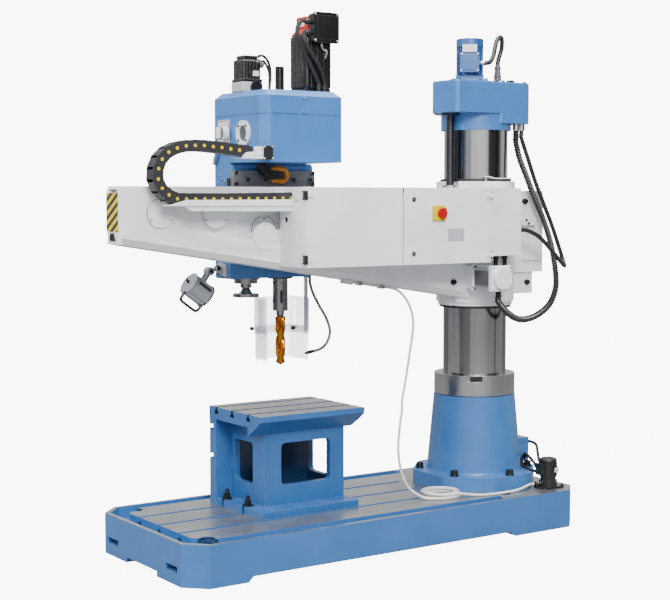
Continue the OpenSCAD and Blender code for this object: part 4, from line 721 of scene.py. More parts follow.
def turned(name: str, start: Point, direction: Point, stations: Sequence[Pair],
           sides: int = 32, rounding: float = 0.0) -> Piece:
    """A turned piece, drawn out from a disc, station by station, in millimetres.

    Args:
        name: The piece's name.
        start: The middle of its first end.
        direction: The way it is drawn out.
        stations: Distance from the start and radius, in order.
        sides: Sides of the round, 6 for a hexagon.
        rounding: Width of the edges' rounding.

    Returns:
        The piece.
    """
    lay_down()
    before = stations[0]
    bpy.ops.mesh.primitive_circle_add(vertices=sides, radius=before[1] * MM, fill_type="NGON",
                                      location=mark(0, 0, before[0]))
    obj = bpy.context.object
    obj.name = name
    with whole_mesh():
        for station in stations[1:]:
            rise, ratio = (station[0] - before[0]) * MM, station[1] / before[1]
            bpy.ops.mesh.extrude_region_move(TRANSFORM_OT_translate={"value": (0, 0, rise)})
            bpy.ops.transform.resize(value=(ratio, ratio, 1))
            before = station
    obj.matrix_world = shift(*start) @ turn_to(direction) @ obj.matrix_world
    settle(obj)
    soften(obj, rounding * MM)
    return obj


def plate(name: str, outline: Sequence[Point], origin: Point, across: Axis, thick: float,
          rounding: float = 0.5) -> Piece:
    """A flat plate cut to an outline, in millimetres.

    Args:
        name: The piece's name.
        outline: Points in the plate's plane: X and Y across Z, X and Z across Y, Y and Z across X.
        origin: A point of the plate's first face.
        across: The plate's normal.
        thick: Its thickness along the normal.
        rounding: Width of the edges' rounding.

    Returns:
        The plate.
    """
    lay_down()
    bpy.ops.mesh.primitive_circle_add(vertices=len(outline), radius=1, fill_type="NGON")
    obj = bpy.context.object
    obj.name = name
    order = {Axis.Z: (0, 1, 2), Axis.Y: (0, 2, 1), Axis.X: (1, 2, 0)}[across]
    for vertex, point in zip(obj.data.vertices, outline):
        for index, value in zip(order, (*point, 0.0)):
            vertex.co[index] = (value + origin[index]) * MM
    with whole_mesh():
        bpy.ops.mesh.extrude_region_move(TRANSFORM_OT_translate={"value": across.vector * thick * MM})
    soften(obj, rounding * MM)
    return obj


def skin(node: str, width: float) -> Piece:
    """A copy of a CAD node with merged faces and rounded edges, free of the frame.

    Args:
        node: The CAD node.
        width: Width of the edges' rounding, in millimetres.

    Returns:
        The copy.
    """
    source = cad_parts[node]
    obj = source.copy()
    obj.data = source.data.copy()
    obj.parent = None
    obj.name = f"{node}_shape"
    for key in list(obj.keys()):
        del obj[key]
    bpy.context.scene.collection.objects.link(obj)
    lay_down(obj)
    with whole_mesh(solid=False):
        bpy.ops.mesh.remove_doubles(threshold=MERGE_GAP)
        bpy.ops.mesh.dissolve_limited(angle_limit=FLAT_ANGLE)
    soften(obj, width * MM)
    return obj


def loose_parts(obj: Piece) -> list[Piece]:
    """Splits an object into its separate solids.

    Args:
        obj: The object.

    Returns:
        The solids.
    """
    lay_down(obj)
    with whole_mesh(solid=False):
        bpy.ops.mesh.separate(type="LOOSE")
    return list(bpy.context.selected_objects)


def join(name: str, parts: Sequence[Piece]) -> Piece:
    """Joins objects into one piece.

    Args:
        name: The piece's name.
        parts: The objects.

    Returns:
        The joined piece.
    """
    lay_down(parts[0])
    for part in parts:
        part.select_set(True)
    if len(parts) > 1:
        bpy.ops.object.join()
    parts[0].name = name
    return parts[0]


def copy_to(source: Piece, matrix: Matrix) -> Piece:
    """A copy of a piece with its own mesh, moved by a matrix.

    Args:
        source: The piece.
        matrix: Where the copy goes.

    Returns:
        The copy.
    """
    made = source.copy()
    made.data = source.data.copy()
    made.data.transform(matrix)
    bpy.context.scene.collection.objects.link(made)
    return made


def copies_of(source: Piece, places: Iterable[Matrix]) -> list[Piece]:
    """Copies of a piece at several places, in place of the piece itself.

    Args:
        source: The piece, which is removed.
        places: Where the copies go.

    Returns:
        The copies.
    """
    made = [copy_to(source, place) for place in places]
    bpy.data.objects.remove(source)
    return made


def paint(obj: Piece, finish: Finish) -> None:
    """Puts one finish on all of an object.

    Args:
        obj: The object.
        finish: Its finish.
    """
    obj.data.materials.clear()
    obj.data.materials.append(finish.material())


def dress(obj: Piece, finish: Finish, body: str, *nodes: str) -> Piece:
    """Gives a piece its finish and its body, and hides the CAD nodes that it stands for.

    Args:
        obj: The piece.
        finish: Its finish.
        body: The CAD body it moves with.
        nodes: CAD nodes that it replaces.

    Returns:
        The piece.
    """
    paint(obj, finish)
    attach(obj, body)
    if nodes:
        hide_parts(*nodes)
    LOG.info("%s on %s", obj.name, body)
    return obj


def shell(node: str, width: float, finish: Finish, body: str = "") -> Piece:
    """Shows a CAD node as its own rounded copy, on the body of its name unless another is given."""
    return dress(skin(node, width), finish, body or node, node)


def dress_placed(place: Matrix, body: str, *pieces: tuple) -> None:
    """Dresses pieces that were modelled in a frame of their own, and moves them to their place.

    Args:
        place: The frame's place.
        body: The CAD body they move with.
        pieces: Each piece with its finish, and the CAD nodes that it replaces.
    """
    for part, finish, *nodes in pieces:
        part.data.transform(place)
        dress(part, finish, body, *nodes)


def smooth_route(points: Iterable[Point], steps: int) -> list[Vector]:
    """A smooth line through given points.

    Args:
        points: The route's points.
        steps: Steps between each two points.

    Returns:
        The line's points.
    """
    spots = [Vector(point) for point in points]
    line: list[Vector] = []
    for i in range(len(spots) - 1):
        a, b, c = spots[max(i - 1, 0)], spots[i], spots[i + 1]
        d = spots[min(i + 2, len(spots) - 1)]
        for k in range(steps):
            t = k / steps
            line.append(0.5 * (2 * b + (c - a) * t + (2 * a - 5 * b + 4 * c - d) * t * t
                               + (3 * b - a - 3 * c + d) * t ** 3))
    return line + [spots[-1]]


def length_of(line: Sequence[Vector]) -> float:
    """The length of a line of points."""
    return sum((b - a).length for a, b in zip(line, line[1:]))


def even_line(line: Sequence[Vector], step: float) -> list[Vector]:
    """The same line, with points a fixed step apart.

    Args:
        line: The line's points.
        step: Distance between the new points.

    Returns:
        The new points.
    """
    total = length_of(line)
    count = max(2, round(total / step))
    result, walked, index = [], 0.0, 0
    for distance in (total * i / count for i in range(count + 1)):
        while index < len(line) - 2 and walked + (line[index + 1] - line[index]).length < distance:
            walked += (line[index + 1] - line[index]).length
            index += 1
        stretch = (line[index + 1] - line[index]).length or 1.0
        result.append(line[index].lerp(line[index + 1], min(1.0, (distance - walked) / stretch)))
    return result


def sweep(name: str, line: Sequence[Vector], diameter: float, sides: int = 3,
          swell: Callable[[int], float] | None = None) -> Piece:
    """A tube along a line, in metres.

    Args:
        name: The piece's name.
        line: The points it follows.
        diameter: Its diameter.
        sides: How finely it is rounded.
        swell: The radius at a point's index, as a share of the full one.

    Returns:
        The tube as a mesh.
    """
    curve = bpy.data.curves.new(name, "CURVE")
    curve.dimensions, curve.twist_mode = "3D", "MINIMUM"
    curve.bevel_depth, curve.bevel_resolution = diameter / 2, sides
    curve.use_fill_caps = True
    spline = curve.splines.new("POLY")
    spline.points.add(len(line) - 1)
    for i, (spot, point) in enumerate(zip(spline.points, line)):
        spot.co = (*point, 1.0)
        spot.radius = swell(i) if swell else 1.0
    obj = bpy.data.objects.new(name, curve)
    bpy.context.scene.collection.objects.link(obj)
    lay_down(obj)
    bpy.ops.object.convert(target="MESH")
    bpy.ops.object.shade_smooth_by_angle(angle=TUBE_ANGLE)
    return bpy.context.object


def hose(name: str, spots: Iterable[Point], steps: int, diameter: float, sides: int = 4) -> Piece:
    """A smooth tube through points given in millimetres, with its diameter in metres."""
    return sweep(name, smooth_route(marked(spots), steps), diameter, sides)


def ribbed(name: str, route: Sequence[Vector], step: float, diameter: float, groove: float) -> Piece:
    """A ribbed tube along a line, in metres.

    Args:
        name: The piece's name.
        route: The line it follows.
        step: Distance from a rib to the next groove.
        diameter: Its diameter over the ribs.
        groove: The radius in the grooves, as a share of the full one.

    Returns:
        The tube.
    """
    return sweep(name, even_line(route, step), diameter, 4, lambda i: 1.0 if i % 2 else groove)


def lead(start: Point, step: Point) -> list[Vector]:
    """The straight stretch with which a cable leaves a piece."""
    return [Vector(start) + times * Vector(step) for times in range(3)]


def landing(end: Point, step: Point) -> list[Vector]:
    """The straight stretch with which a cable meets a piece."""
    return lead(end, step)[::-1]


# The studio


@dataclass(frozen=True)
class Shot:
    """The photograph's camera."""

    place: Spot = (-3.556, -5.280, 1.529)
    down: float = 4.03
    turn: float = -34.37
    lens: float = 77.2

    def set_up(self) -> None:
        """Puts the camera where the photograph was taken from."""
        lens = bpy.data.cameras.new("camera")
        lens.lens, lens.sensor_width = self.lens, 36.0
        lens.clip_end = 60.0
        camera = bpy.data.objects.new("camera", lens)
        camera.location = self.place
        camera.rotation_euler = (math.radians(90 - self.down), 0, math.radians(self.turn))
        bpy.context.scene.collection.objects.link(camera)
        bpy.context.scene.camera = camera


@dataclass(frozen=True)
class SoftBox:
    """One large, soft lamp."""

    name: str
    place: Spot
    aim: Spot
    size: Pair
    power: float

    def set_up(self) -> None:
        """Hangs the lamp and aims it."""
        lamp = bpy.data.lights.new(self.name, "AREA")
        lamp.shape, lamp.size, lamp.size_y = "RECTANGLE", *self.size
        lamp.energy = self.power
        lamp.color = (1.0, 0.985, 0.965)
        obj = bpy.data.objects.new(self.name, lamp)
        obj.location = self.place
        way = Vector(self.aim) - Vector(self.place)
        obj.rotation_euler = way.to_track_quat("-Z", "Y").to_euler()
        bpy.context.scene.collection.objects.link(obj)


@dataclass(frozen=True)
class Studio:
    """White floor, light walls with two dark gaps that the ground column mirrors, and three soft lamps."""

    floor_size: float = 60.0
    backdrop: float = 9.0
    walls: tuple[Pair, ...] = (
        (0.0, 0.04), (0.020, 0.04), (0.045, 1.3), (0.250, 1.3), (0.275, 0.04), (0.400, 0.04), (0.440, 0.75),
        (0.870, 0.75), (0.895, 0.04))
    ceiling: float = 1.5
    lamps: tuple[SoftBox, ...] = (
        SoftBox("key", (-2.2, -5.4, 4.4), (0.1, 0.0, 1.0), (2.6, 1.8), 520.0),
        SoftBox("left", (-5.4, 0.6, 4.6), (0.0, 0.0, 1.0), (2.4, 1.6), 290.0),
        SoftBox("top", (0.2, -0.8, 5.6), (0.1, 0.0, 1.0), (4.5, 3.0), 300.0),
    )

    def set_up(self) -> None:
        """Lays the floor, sets the walls and hangs the lamps."""
        lay_down()
        bpy.ops.mesh.primitive_plane_add(size=self.floor_size, location=(0, 0, 0))
        floor = bpy.context.object
        floor.name = "floor"
        floor.data.materials.append(self.paper())
        self.light_walls()
        for lamp in self.lamps:
            lamp.set_up()

    def paper(self) -> bpy.types.Material:
        """White paper that the camera sees nearly as bright as the backdrop.

        Returns:
            The material.
        """
        made = bpy.data.materials.new("white_floor")
        made.use_nodes = True
        hand = Nodes(made.node_tree)
        hand.shader.inputs["Base Color"].default_value = (0.22, 0.22, 0.22, 1.0)
        hand.shader.inputs["Roughness"].default_value = 0.9
        hand.shader.inputs["Emission Color"].default_value = (1.0, 1.0, 1.0, 1.0)
        seen = hand.add("ShaderNodeLightPath").outputs["Is Camera Ray"]
        hand.fill(hand.shader, {"Emission Strength": hand.times(seen, self.backdrop * 0.97)})
        return made

    def light_walls(self) -> None:
        """The surroundings: white to the camera, and light walls by direction to everything else."""
        world = bpy.data.worlds.new("studio_walls")
        bpy.context.scene.world = world
        world.use_nodes = True
        hand = Nodes(world.node_tree)
        sky = world.node_tree.nodes["Background"]
        way = hand.axes("ShaderNodeTexCoord", "Generated")
        around = hand.math("ARCTAN2", way["Y"], way["X"])
        share = hand.plus(hand.math("DIVIDE", around, 2 * math.pi), 0.5)
        ramp = hand.add("ShaderNodeValToRGB", {"Fac": share})
        stops = ramp.color_ramp.elements
        brightest = max(level for _, level in self.walls)
        stops.remove(stops[1])
        for index, (place, level) in enumerate(self.walls):
            stop = stops.new(place) if index else stops[0]
            stop.position, stop.color = place, (level / brightest,) * 3 + (1.0,)
        wall = hand.times(ramp.outputs["Color"], brightest)
        light = hand.between(hand.ramp(way["Z"], 0.45, 0.75), wall, self.ceiling)
        seen = hand.add("ShaderNodeLightPath").outputs["Is Camera Ray"]
        hand.fill(sky, {"Strength": hand.between(seen, light, self.backdrop)})
        sky.inputs["Color"].default_value = (1.0, 1.0, 1.0, 1.0)


# Cables and hoses


@dataclass(frozen=True)
class Coolant:
    """The coolant hose: four loops on the base, a stretch to the pump, and one up to the arm and along it."""

    diameter: float = 0.012
    centre: Pair = (0.515, -0.187)
    outer: float = 0.092
    step: float = 0.016
    loops: int = 4
    lowest: float = 0.1813
    rise: float = 0.013
    joint: Spot = (0.318, -0.150, 0.600)
    bend: Spot = (0.386, -0.112, 1.050)
    port: Spot = (0.978, -0.304, 0.195)

    def coil_point(self, turn: float) -> Vector:
        """A point of the coil, which winds in to its middle loop and out again over itself.

        Args:
            turn: Turns from the coil's start.

        Returns:
            The point.
        """
        half = self.loops / 2
        inward = turn if turn < half else self.loops - turn
        t = min(max((turn - half + 0.25) / 0.5, 0.0), 1.0)
        place, = round_about(self.centre, self.outer - self.step * inward, (360 * turn - 90,))
        return Vector((*place, self.lowest + self.rise * t * t * (3 - 2 * t)))

    def build(self) -> None:
        """Makes the four pieces of hose."""
        reach, up = Vector((self.diameter, 0, 0)), Vector((0, 0, self.diameter))
        first, last = self.coil_point(0) - reach, self.coil_point(self.loops) + reach
        coil = [first, *(self.coil_point(i / 24) for i in range(self.loops * 24 + 1)), last]
        to_pump = [*lead(last, reach), (0.590, -0.290, 0.188), (0.650, -0.315, 0.182), (0.760, -0.332, 0.182),
                   (0.860, -0.328, 0.184), *landing(self.port, -reach)]
        riser = [*lead(first, -reach), (0.430, -0.262, 0.182), (0.380, -0.225, 0.188), (0.325, -0.190, 0.235),
                 (0.292, -0.176, 0.320), (0.286, -0.166, 0.410), (0.302, -0.156, 0.510), *landing(self.joint, -up)]
        on_arm = [*lead(self.joint, up), (0.340, -0.144, 0.700), (0.370, -0.136, 0.826), (0.392, -0.130, 0.920),
                  (0.397, -0.126, 0.985), self.bend, (0.350, -0.098, 1.104),
                  *((x, -0.095, under_arm(x) - 0.008) for x in (0.300, 0.200, 0.094, 0.080))]
        for node, line, steps in (("hose_coil", coil, 1), ("hose_to_pump", to_pump, 4),
                                  ("hose_riser", riser, 4), ("hose_on_arm", on_arm, 4)):
            route = smooth_route(line, steps)
            piece = sweep(f"{node}_white", route, self.diameter, 5)
            paint(piece, HOSE)
            if node == "hose_riser":
                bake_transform(piece)
            elif node == "hose_on_arm":
                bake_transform(piece)
            else:
                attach(piece, "base")
            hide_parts(node)
            LOG.info("%s, %.2f m long", piece.name, length_of(route))


@dataclass(frozen=True)
class Conduits:
    """The two conduits from the lift gearbox to the arm."""

    ribbed: tuple[Spot, ...] = (
        (1006, -125, 1850), (1006, -125, 1824), (1006, -125, 1798), (1022, -134, 1720), (1058, -146, 1630),
        (1100, -156, 1530), (1150, -166, 1425), (1188, -178, 1310), (1204, -190, 1200), (1198, -204, 1110),
        (1150, -218, 1034), (1069, -232, 988), (988, -244, 968), (910, -254, 972), (842, -262, 1004),
        (784, -265, 1057), (784, -265, 1083), (784, -265, 1109))
    smooth: tuple[Spot, ...] = (
        (1040, -125, 1850), (1040, -125, 1833), (1040, -125, 1816), (1072, -132, 1730), (1120, -138, 1610),
        (1172, -144, 1500), (1224, -150, 1390), (1268, -160, 1270), (1276, -176, 1216), (1246, -205, 1212),
        (1170, -228, 1262), (1060, -242, 1346), (980, -245, 1380), (935, -245, 1385), (918, -245, 1385),
        (901, -245, 1385))

    def build(self) -> None:
        """Winds the conduits between the column and the arm."""
        for node, spots, diameter, groove in (("conduit_ribbed", self.ribbed, 0.033, 0.74),
                                              ("conduit_smooth", self.smooth, 0.022, 0.9)):
            route = marked(spots)
            piece = ribbed(f"{node}_black", smooth_route(route, 8), 0.006, diameter, groove)
            paint(piece, RIBBED)
            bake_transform(piece)
            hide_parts(node)
            LOG.info("%s, %.2f m long", piece.name, length_of(route))


# Small parts that repeat


def cap_screw(width: float, height: float, sides: int = 16) -> Piece:
    """A socket screw's head, standing on the origin."""
    half = width / 2
    return turned("screw", (0, 0, 0), UP, (
        (-1.0, half * 0.7), (0.0, half), (height * 0.82, half), (height, half * 0.86), (height, half * 0.5),
        (height * 0.35, half * 0.46)), sides)


def hex_head(across: float, height: float) -> Piece:
    """A hexagon head on its washer, standing on the origin.

    Args:
        across: Width across the flats, in millimetres.
        height: Its height.

    Returns:
        The head.
    """
    half = across / 2
    rim = half * 1.25
    washer = turned("washer", (0, 0, 0), UP, ((-1.0, half), (-0.5, rim), (height * 0.15, rim)), 20)
    head = turned("head", (0, 0, 0), UP, (
        (0.0, half * 1.1), (height * 0.9, half * 1.1), (height, half * 0.92)), 6)
    return join("hex_screw", [washer, head])


def pan_screw(width: float, height: float) -> Piece:
    """A low round screw head with a recess, standing on the origin."""
    half = width / 2
    return turned("pan", (0, 0, 0), UP, (
        (-1.0, half), (height * 0.3, half), (height * 0.75, half * 0.82), (height, half * 0.45),
        (height, half * 0.2), (height * 0.5, half * 0.16)), 14)


def spread(name: str, master: Piece, places: Iterable[Point], direction: Point) -> Piece:
    """Copies a small part to several places and joins the copies.

    Args:
        name: The new piece's name.
        master: The part, modelled on the origin along +Z.
        places: Where the copies go, in millimetres.
        direction: The way they face.

    Returns:
        The joined copies.
    """
    turn = turn_to(direction)
    return join(name, copies_of(master, [shift(*place) @ turn for place in places]))


def gland(name: str, place: Point, direction: Point, cable: float, finish: Finish, body: str) -> Piece:
    """A cable gland: hexagon, thread collar and domed nut.

    Args:
        name: The piece's name.
        place: Where it leaves the housing, in millimetres.
        direction: The way the cable goes.
        cable: The cable's diameter in millimetres.
        finish: Its finish.
        body: The body it rides on.

    Returns:
        The gland.
    """
    half = cable / 2
    base = turned("gland_base", place, direction, ((-1.0, half + 5), (6.0, half + 5), (7.0, half + 3.4)), 6, 0.5)
    nut = turned("gland_nut", place, direction, (
        (6.0, half + 3), (7.0, half + 4), (15.0, half + 4), (20.0, half + 2.2), (22.0, half + 0.6)), 20, 0.4)
    return dress(join(name, [base, nut]), finish, body)


@dataclass(frozen=True)
class Share:
    """A box in millimetres: a node's solids whose middle lies in it become one piece with one finish."""

    name: str
    finish: Finish
    low: Spot = (-5000.0, -5000.0, -5000.0)
    high: Spot = (5000.0, 5000.0, 5000.0)

    def holds(self, obj: Piece) -> bool:
        """Whether the middle of an object's box lies in this one."""
        middles = [(min(axis) + max(axis)) / 2 / MM for axis in zip(*(vertex.co for vertex in obj.data.vertices))]
        return all(low <= middle <= high for low, middle, high in zip(self.low, middles, self.high))


def share_out(node: str, body: str, width: float, *shares: Share) -> dict[str, Piece]:
    """Shows a node as rounded copies of its solids, in several finishes.

    Args:
        node: The CAD node.
        body: The body it belongs to.
        width: Width of the edges' rounding, in millimetres.
        shares: The finishes, tried in order.

    Returns:
        The pieces by name.
    """
    found: dict[str, list[Piece]] = {share.name: [] for share in shares}
    for part in loose_parts(skin(node, width)):
        found[next(share.name for share in shares if share.holds(part))].append(part)
    return {share.name: dress(join(share.name, found[share.name]), share.finish, body, node)
            for share in shares if found[share.name]}


# The machine


@dataclass(frozen=True)
class Base:
    """Base casting, box table, column foot, junction box and coolant pump."""

    pump: Spot = (1044.0, -330.0, 175.0)
    box_face: float = 1163.0
    lead_diameter: float = 0.0145
    leads: tuple[tuple[Spot, ...], ...] = (
        ((1160, -40, 340), (1180, -42, 341), (1188, -62, 338), (1172, -105, 333), (1126, -165, 316),
         (1072, -232, 296), (1044, -272, 288), (1040, -300, 285)),
        ((1129, -58, 275), (1127, -74, 277), (1107, -96, 290), (1082, -125, 300), (1066, -170, 297),
         (1036, -240, 280), (1012, -285, 267), (1012, -312, 260)),
        ((1110, -58, 264), (1104, -78, 261), (1082, -105, 254), (1050, -150, 244), (1030, -215, 241),
         (1016, -270, 246), (1012, -310, 250)))

    def build(self) -> None:
        """Makes everything that stands still."""
        for node, width, finish in (("base_casting", 3.0, BLUE_BASE), ("column_foot", 3.0, BLUE),
                                    ("foot_bolts", 1.2, OXIDE), ("box_table", 2.0, BLUE_TABLE),
                                    ("table_bolts", 1.0, OXIDE), ("junction_box", 2.5, BLUE)):
            shell(node, width, finish, "base")
        paint(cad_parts["inner_column"], GROUND)
        leads = [hose("lead", spots, 6, self.lead_diameter) for spots in self.leads]
        dress(join("pump_leads", leads), RUBBER, "base", "pump_cables")
        self.build_box_screws()
        self.build_pump()

    def build_box_screws(self) -> None:
        """Lid screws and glands of the junction box."""
        corners = [(self.box_face - 0.4, y, z) for y in (-50, 50) for z in (260, 356)]
        dress(spread("junction_screws", pan_screw(9, 3), corners, RIGHT), PLATED, "base")
        gland("junction_gland", (self.box_face, -40, 340), RIGHT, 12, PLASTIC, "base")
        gland("junction_gland_side", (1129, -60, 275), FRONT, 12, PLASTIC, "base")

    def build_pump(self) -> None:
        """The pump with its fan cap, ribs, terminal box, blank plate, feet screws and hose fitting."""
        shell("coolant_pump", 2.0, BLACK, "base")
        cap = turned("pump_cap", (0, 0, 124), UP, (
            (0, 40.5), (3, 41.5), (8, 41.5), (14, 38), (17, 31), (17, 24), (14, 22)), 40, 0.6)
        rib = block("rib", (39.0, -1.2, 56), (42.0, 1.2, 122), 0.4)
        ribs = join("pump_ribs", [rib, *(copy_to(rib, spin(15 * step)) for step in range(1, 24))])
        feet = [(x, y, 9) for x in (-48, 58) for y in (-34, 34)]
        fitting = turned("pump_hose_fitting", (-70, 26, 20), RIGHT, (
            (0, 7), (1, 8.2), (9, 8.2), (10, 9.5), (13, 9.5), (14, 11), (24, 11), (25, 12.5), (34, 12.5)), 20, 0.3)
        dress_placed(shift(*self.pump), "base", (cap, PLASTIC), (ribs, BLACK), (fitting, PLATED),
                     (spread("pump_screws", cap_screw(13, 8), feet, UP), OXIDE),
                     (block("pump_terminal_lid", (-59, -18, 64), (-55, 24, 120), 1.2), PLASTIC),
                     (block("pump_plate", (2, -40.5, 76), (30, -36, 98), 0.5), WHITE_PLATE))


@dataclass(frozen=True)
class Column:
    """Ground column with its ring, and the lift gearbox on top with motor, leads and lift screw."""

    middle: Pair = (865.0, 0.0)
    ring_top: float = 703.0
    ring_radius: float = 192.5
    key_angle: float = 233.0
    motor: Spot = (803.0, -26.0, 2086.0)
    motor_turn: float = -40.0
    plug: Pair = (958.0, -45.0)
    lid_top: float = 2072.0
    screw: Pair = (675.0, -43.0)
    thread_radius: float = 16.4
    thread_pitch: float = 8.0
    thread_low: float = 1590.0
    thread_turns: int = 39

    def build(self) -> None:
        """Makes everything that turns with the column."""
        paint(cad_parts["outer_column"], COLUMN)
        shell("column_ring", 1.5, GROUND, "column")
        shell("column_cap", 3.5, BLUE, "column")
        shell("cap_lid", 2.0, BLUE, "column")
        self.build_key()
        self.build_motor()
        self.build_lead()
        self.build_screw()

    def build_key(self) -> None:
        """The dark stop block let into the ring's upper edge."""
        key = block("ring_stop", (self.ring_radius - 8, -29, self.ring_top - 25),
                    (self.ring_radius + 1.2, 29, self.ring_top - 2), 1.0)
        dress_placed(shift(*self.middle, 0) @ spin(self.key_angle), "column", (key, OXIDE))

    def build_motor(self) -> None:
        """The finned motor, its terminal box lid, screws, fan cowl and blank plate."""
        shell("lift_motor", 1.0, BLUE_DARK, "column")
        lid = block("lift_motor_box_lid", (-36, -99.5, 36), (36, -95, 108), 3.0)
        corners = [(x, -96.5, z) for x in (-38, 38) for z in (34, 110)]
        screws = spread("lift_motor_box_screws", pan_screw(12, 4), corners, FRONT)
        label = block("lift_motor_plate", (-34, -67.5, 123), (34, -55, 158), 0.6)
        cowl = turned("lift_motor_cowl", (0, 0, 182), UP, (
            (0, 63.6), (2, 63.6), (5, 61), (7, 54), (7, 20), (5, 18), (5, 8), (7, 6)), 48, 0.8)
        collar = turned("lift_motor_gland", (54, -72, 70), RIGHT, (
            (0, 13), (6, 13), (7, 11), (16, 11), (19, 8)), 20, 0.5)
        dress_placed(shift(*self.motor) @ spin(self.motor_turn), "column", (lid, BLUE_DARK), (screws, PLATED),
                     (label, WHITE_PLATE), (cowl, BLUE_DARK), (collar, PLATED))

    def build_lead(self) -> None:
        """The lead's connector with its knurled rings, flange screws, the clip and the glands."""
        pieces = share_out(
            "lift_motor_cable", "column", 0.8,
            Share("lift_clip", PLASTIC, (985, -105, 2060), (1020, -60, 2100)),
            Share("cap_glands", PLATED, (980, -200, 1800), (1100, -80, 1930)),
            Share("screw_flange", DARK_STEEL, (600, -100, 1900), (740, 20, 1930)),
            Share("connector_flange", PLASTIC, (900, -90, 2060), (1000, 0, 2090)),
            Share("lift_lead", RUBBER))
        bpy.data.objects.remove(pieces["lift_lead"])
        route = marked((
            (806, -126, 2156), (820, -133, 2157), (848, -122, 2166), (876, -110, 2196), (896, -98, 2235),
            (919, -84, 2270), (946, -72, 2288), (968, -62, 2280), (974, -54, 2238), (966, -48, 2203),
            (960, -45, 2176), (958, -45, 2150)))
        dress(ribbed("lift_lead_ribbed", smooth_route(route, 6), 0.004, 0.0225, 0.95), RIBBED, "column")
        (x, y), z = self.plug, self.lid_top
        dress(turned("connector_rings", (x, y, z + 14), UP, (
            (0, 19), (3, 19.5), (9, 19.5), (10, 16.5), (14, 16.5), (15, 18.5), (26, 18.5), (27, 15.5), (36, 15.5),
            (37, 14.5), (54, 13.5), (56, 15), (66, 15), (68, 12), (74, 11.5), (80, 9)), 24, 0.5), CONNECTOR, "column")
        flange = [(x + dx, y + dy, z + 14) for dx, dy in ((-33, -18), (-33, 18), (10, -19), (10, 19))]
        dress(spread("connector_screws", pan_screw(7, 3), flange, UP), PLATED, "column")
        lid = [(x, y, z) for x, y in ((640, -150), (760, -154), (900, -154), (1035, -150), (1036, 0), (1034, 148),
                                      (880, 150))]
        dress(spread("lid_screws", hex_head(13, 7), lid, UP), OXIDE, "column")

    def build_screw(self) -> None:
        """The lift screw with its thread wound round it."""
        paint(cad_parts["lift_screw"], DARK_STEEL)
        steps = range(self.thread_turns * 12 + 1)
        circle = round_about(self.screw, self.thread_radius, [30 * i for i in steps])
        line = [mark(x, y, self.thread_low + self.thread_pitch * i / 12) for i, (x, y) in zip(steps, circle)]
        dress(sweep("lift_thread", line, 0.0042, 1), DARK_STEEL, "lift_screw")


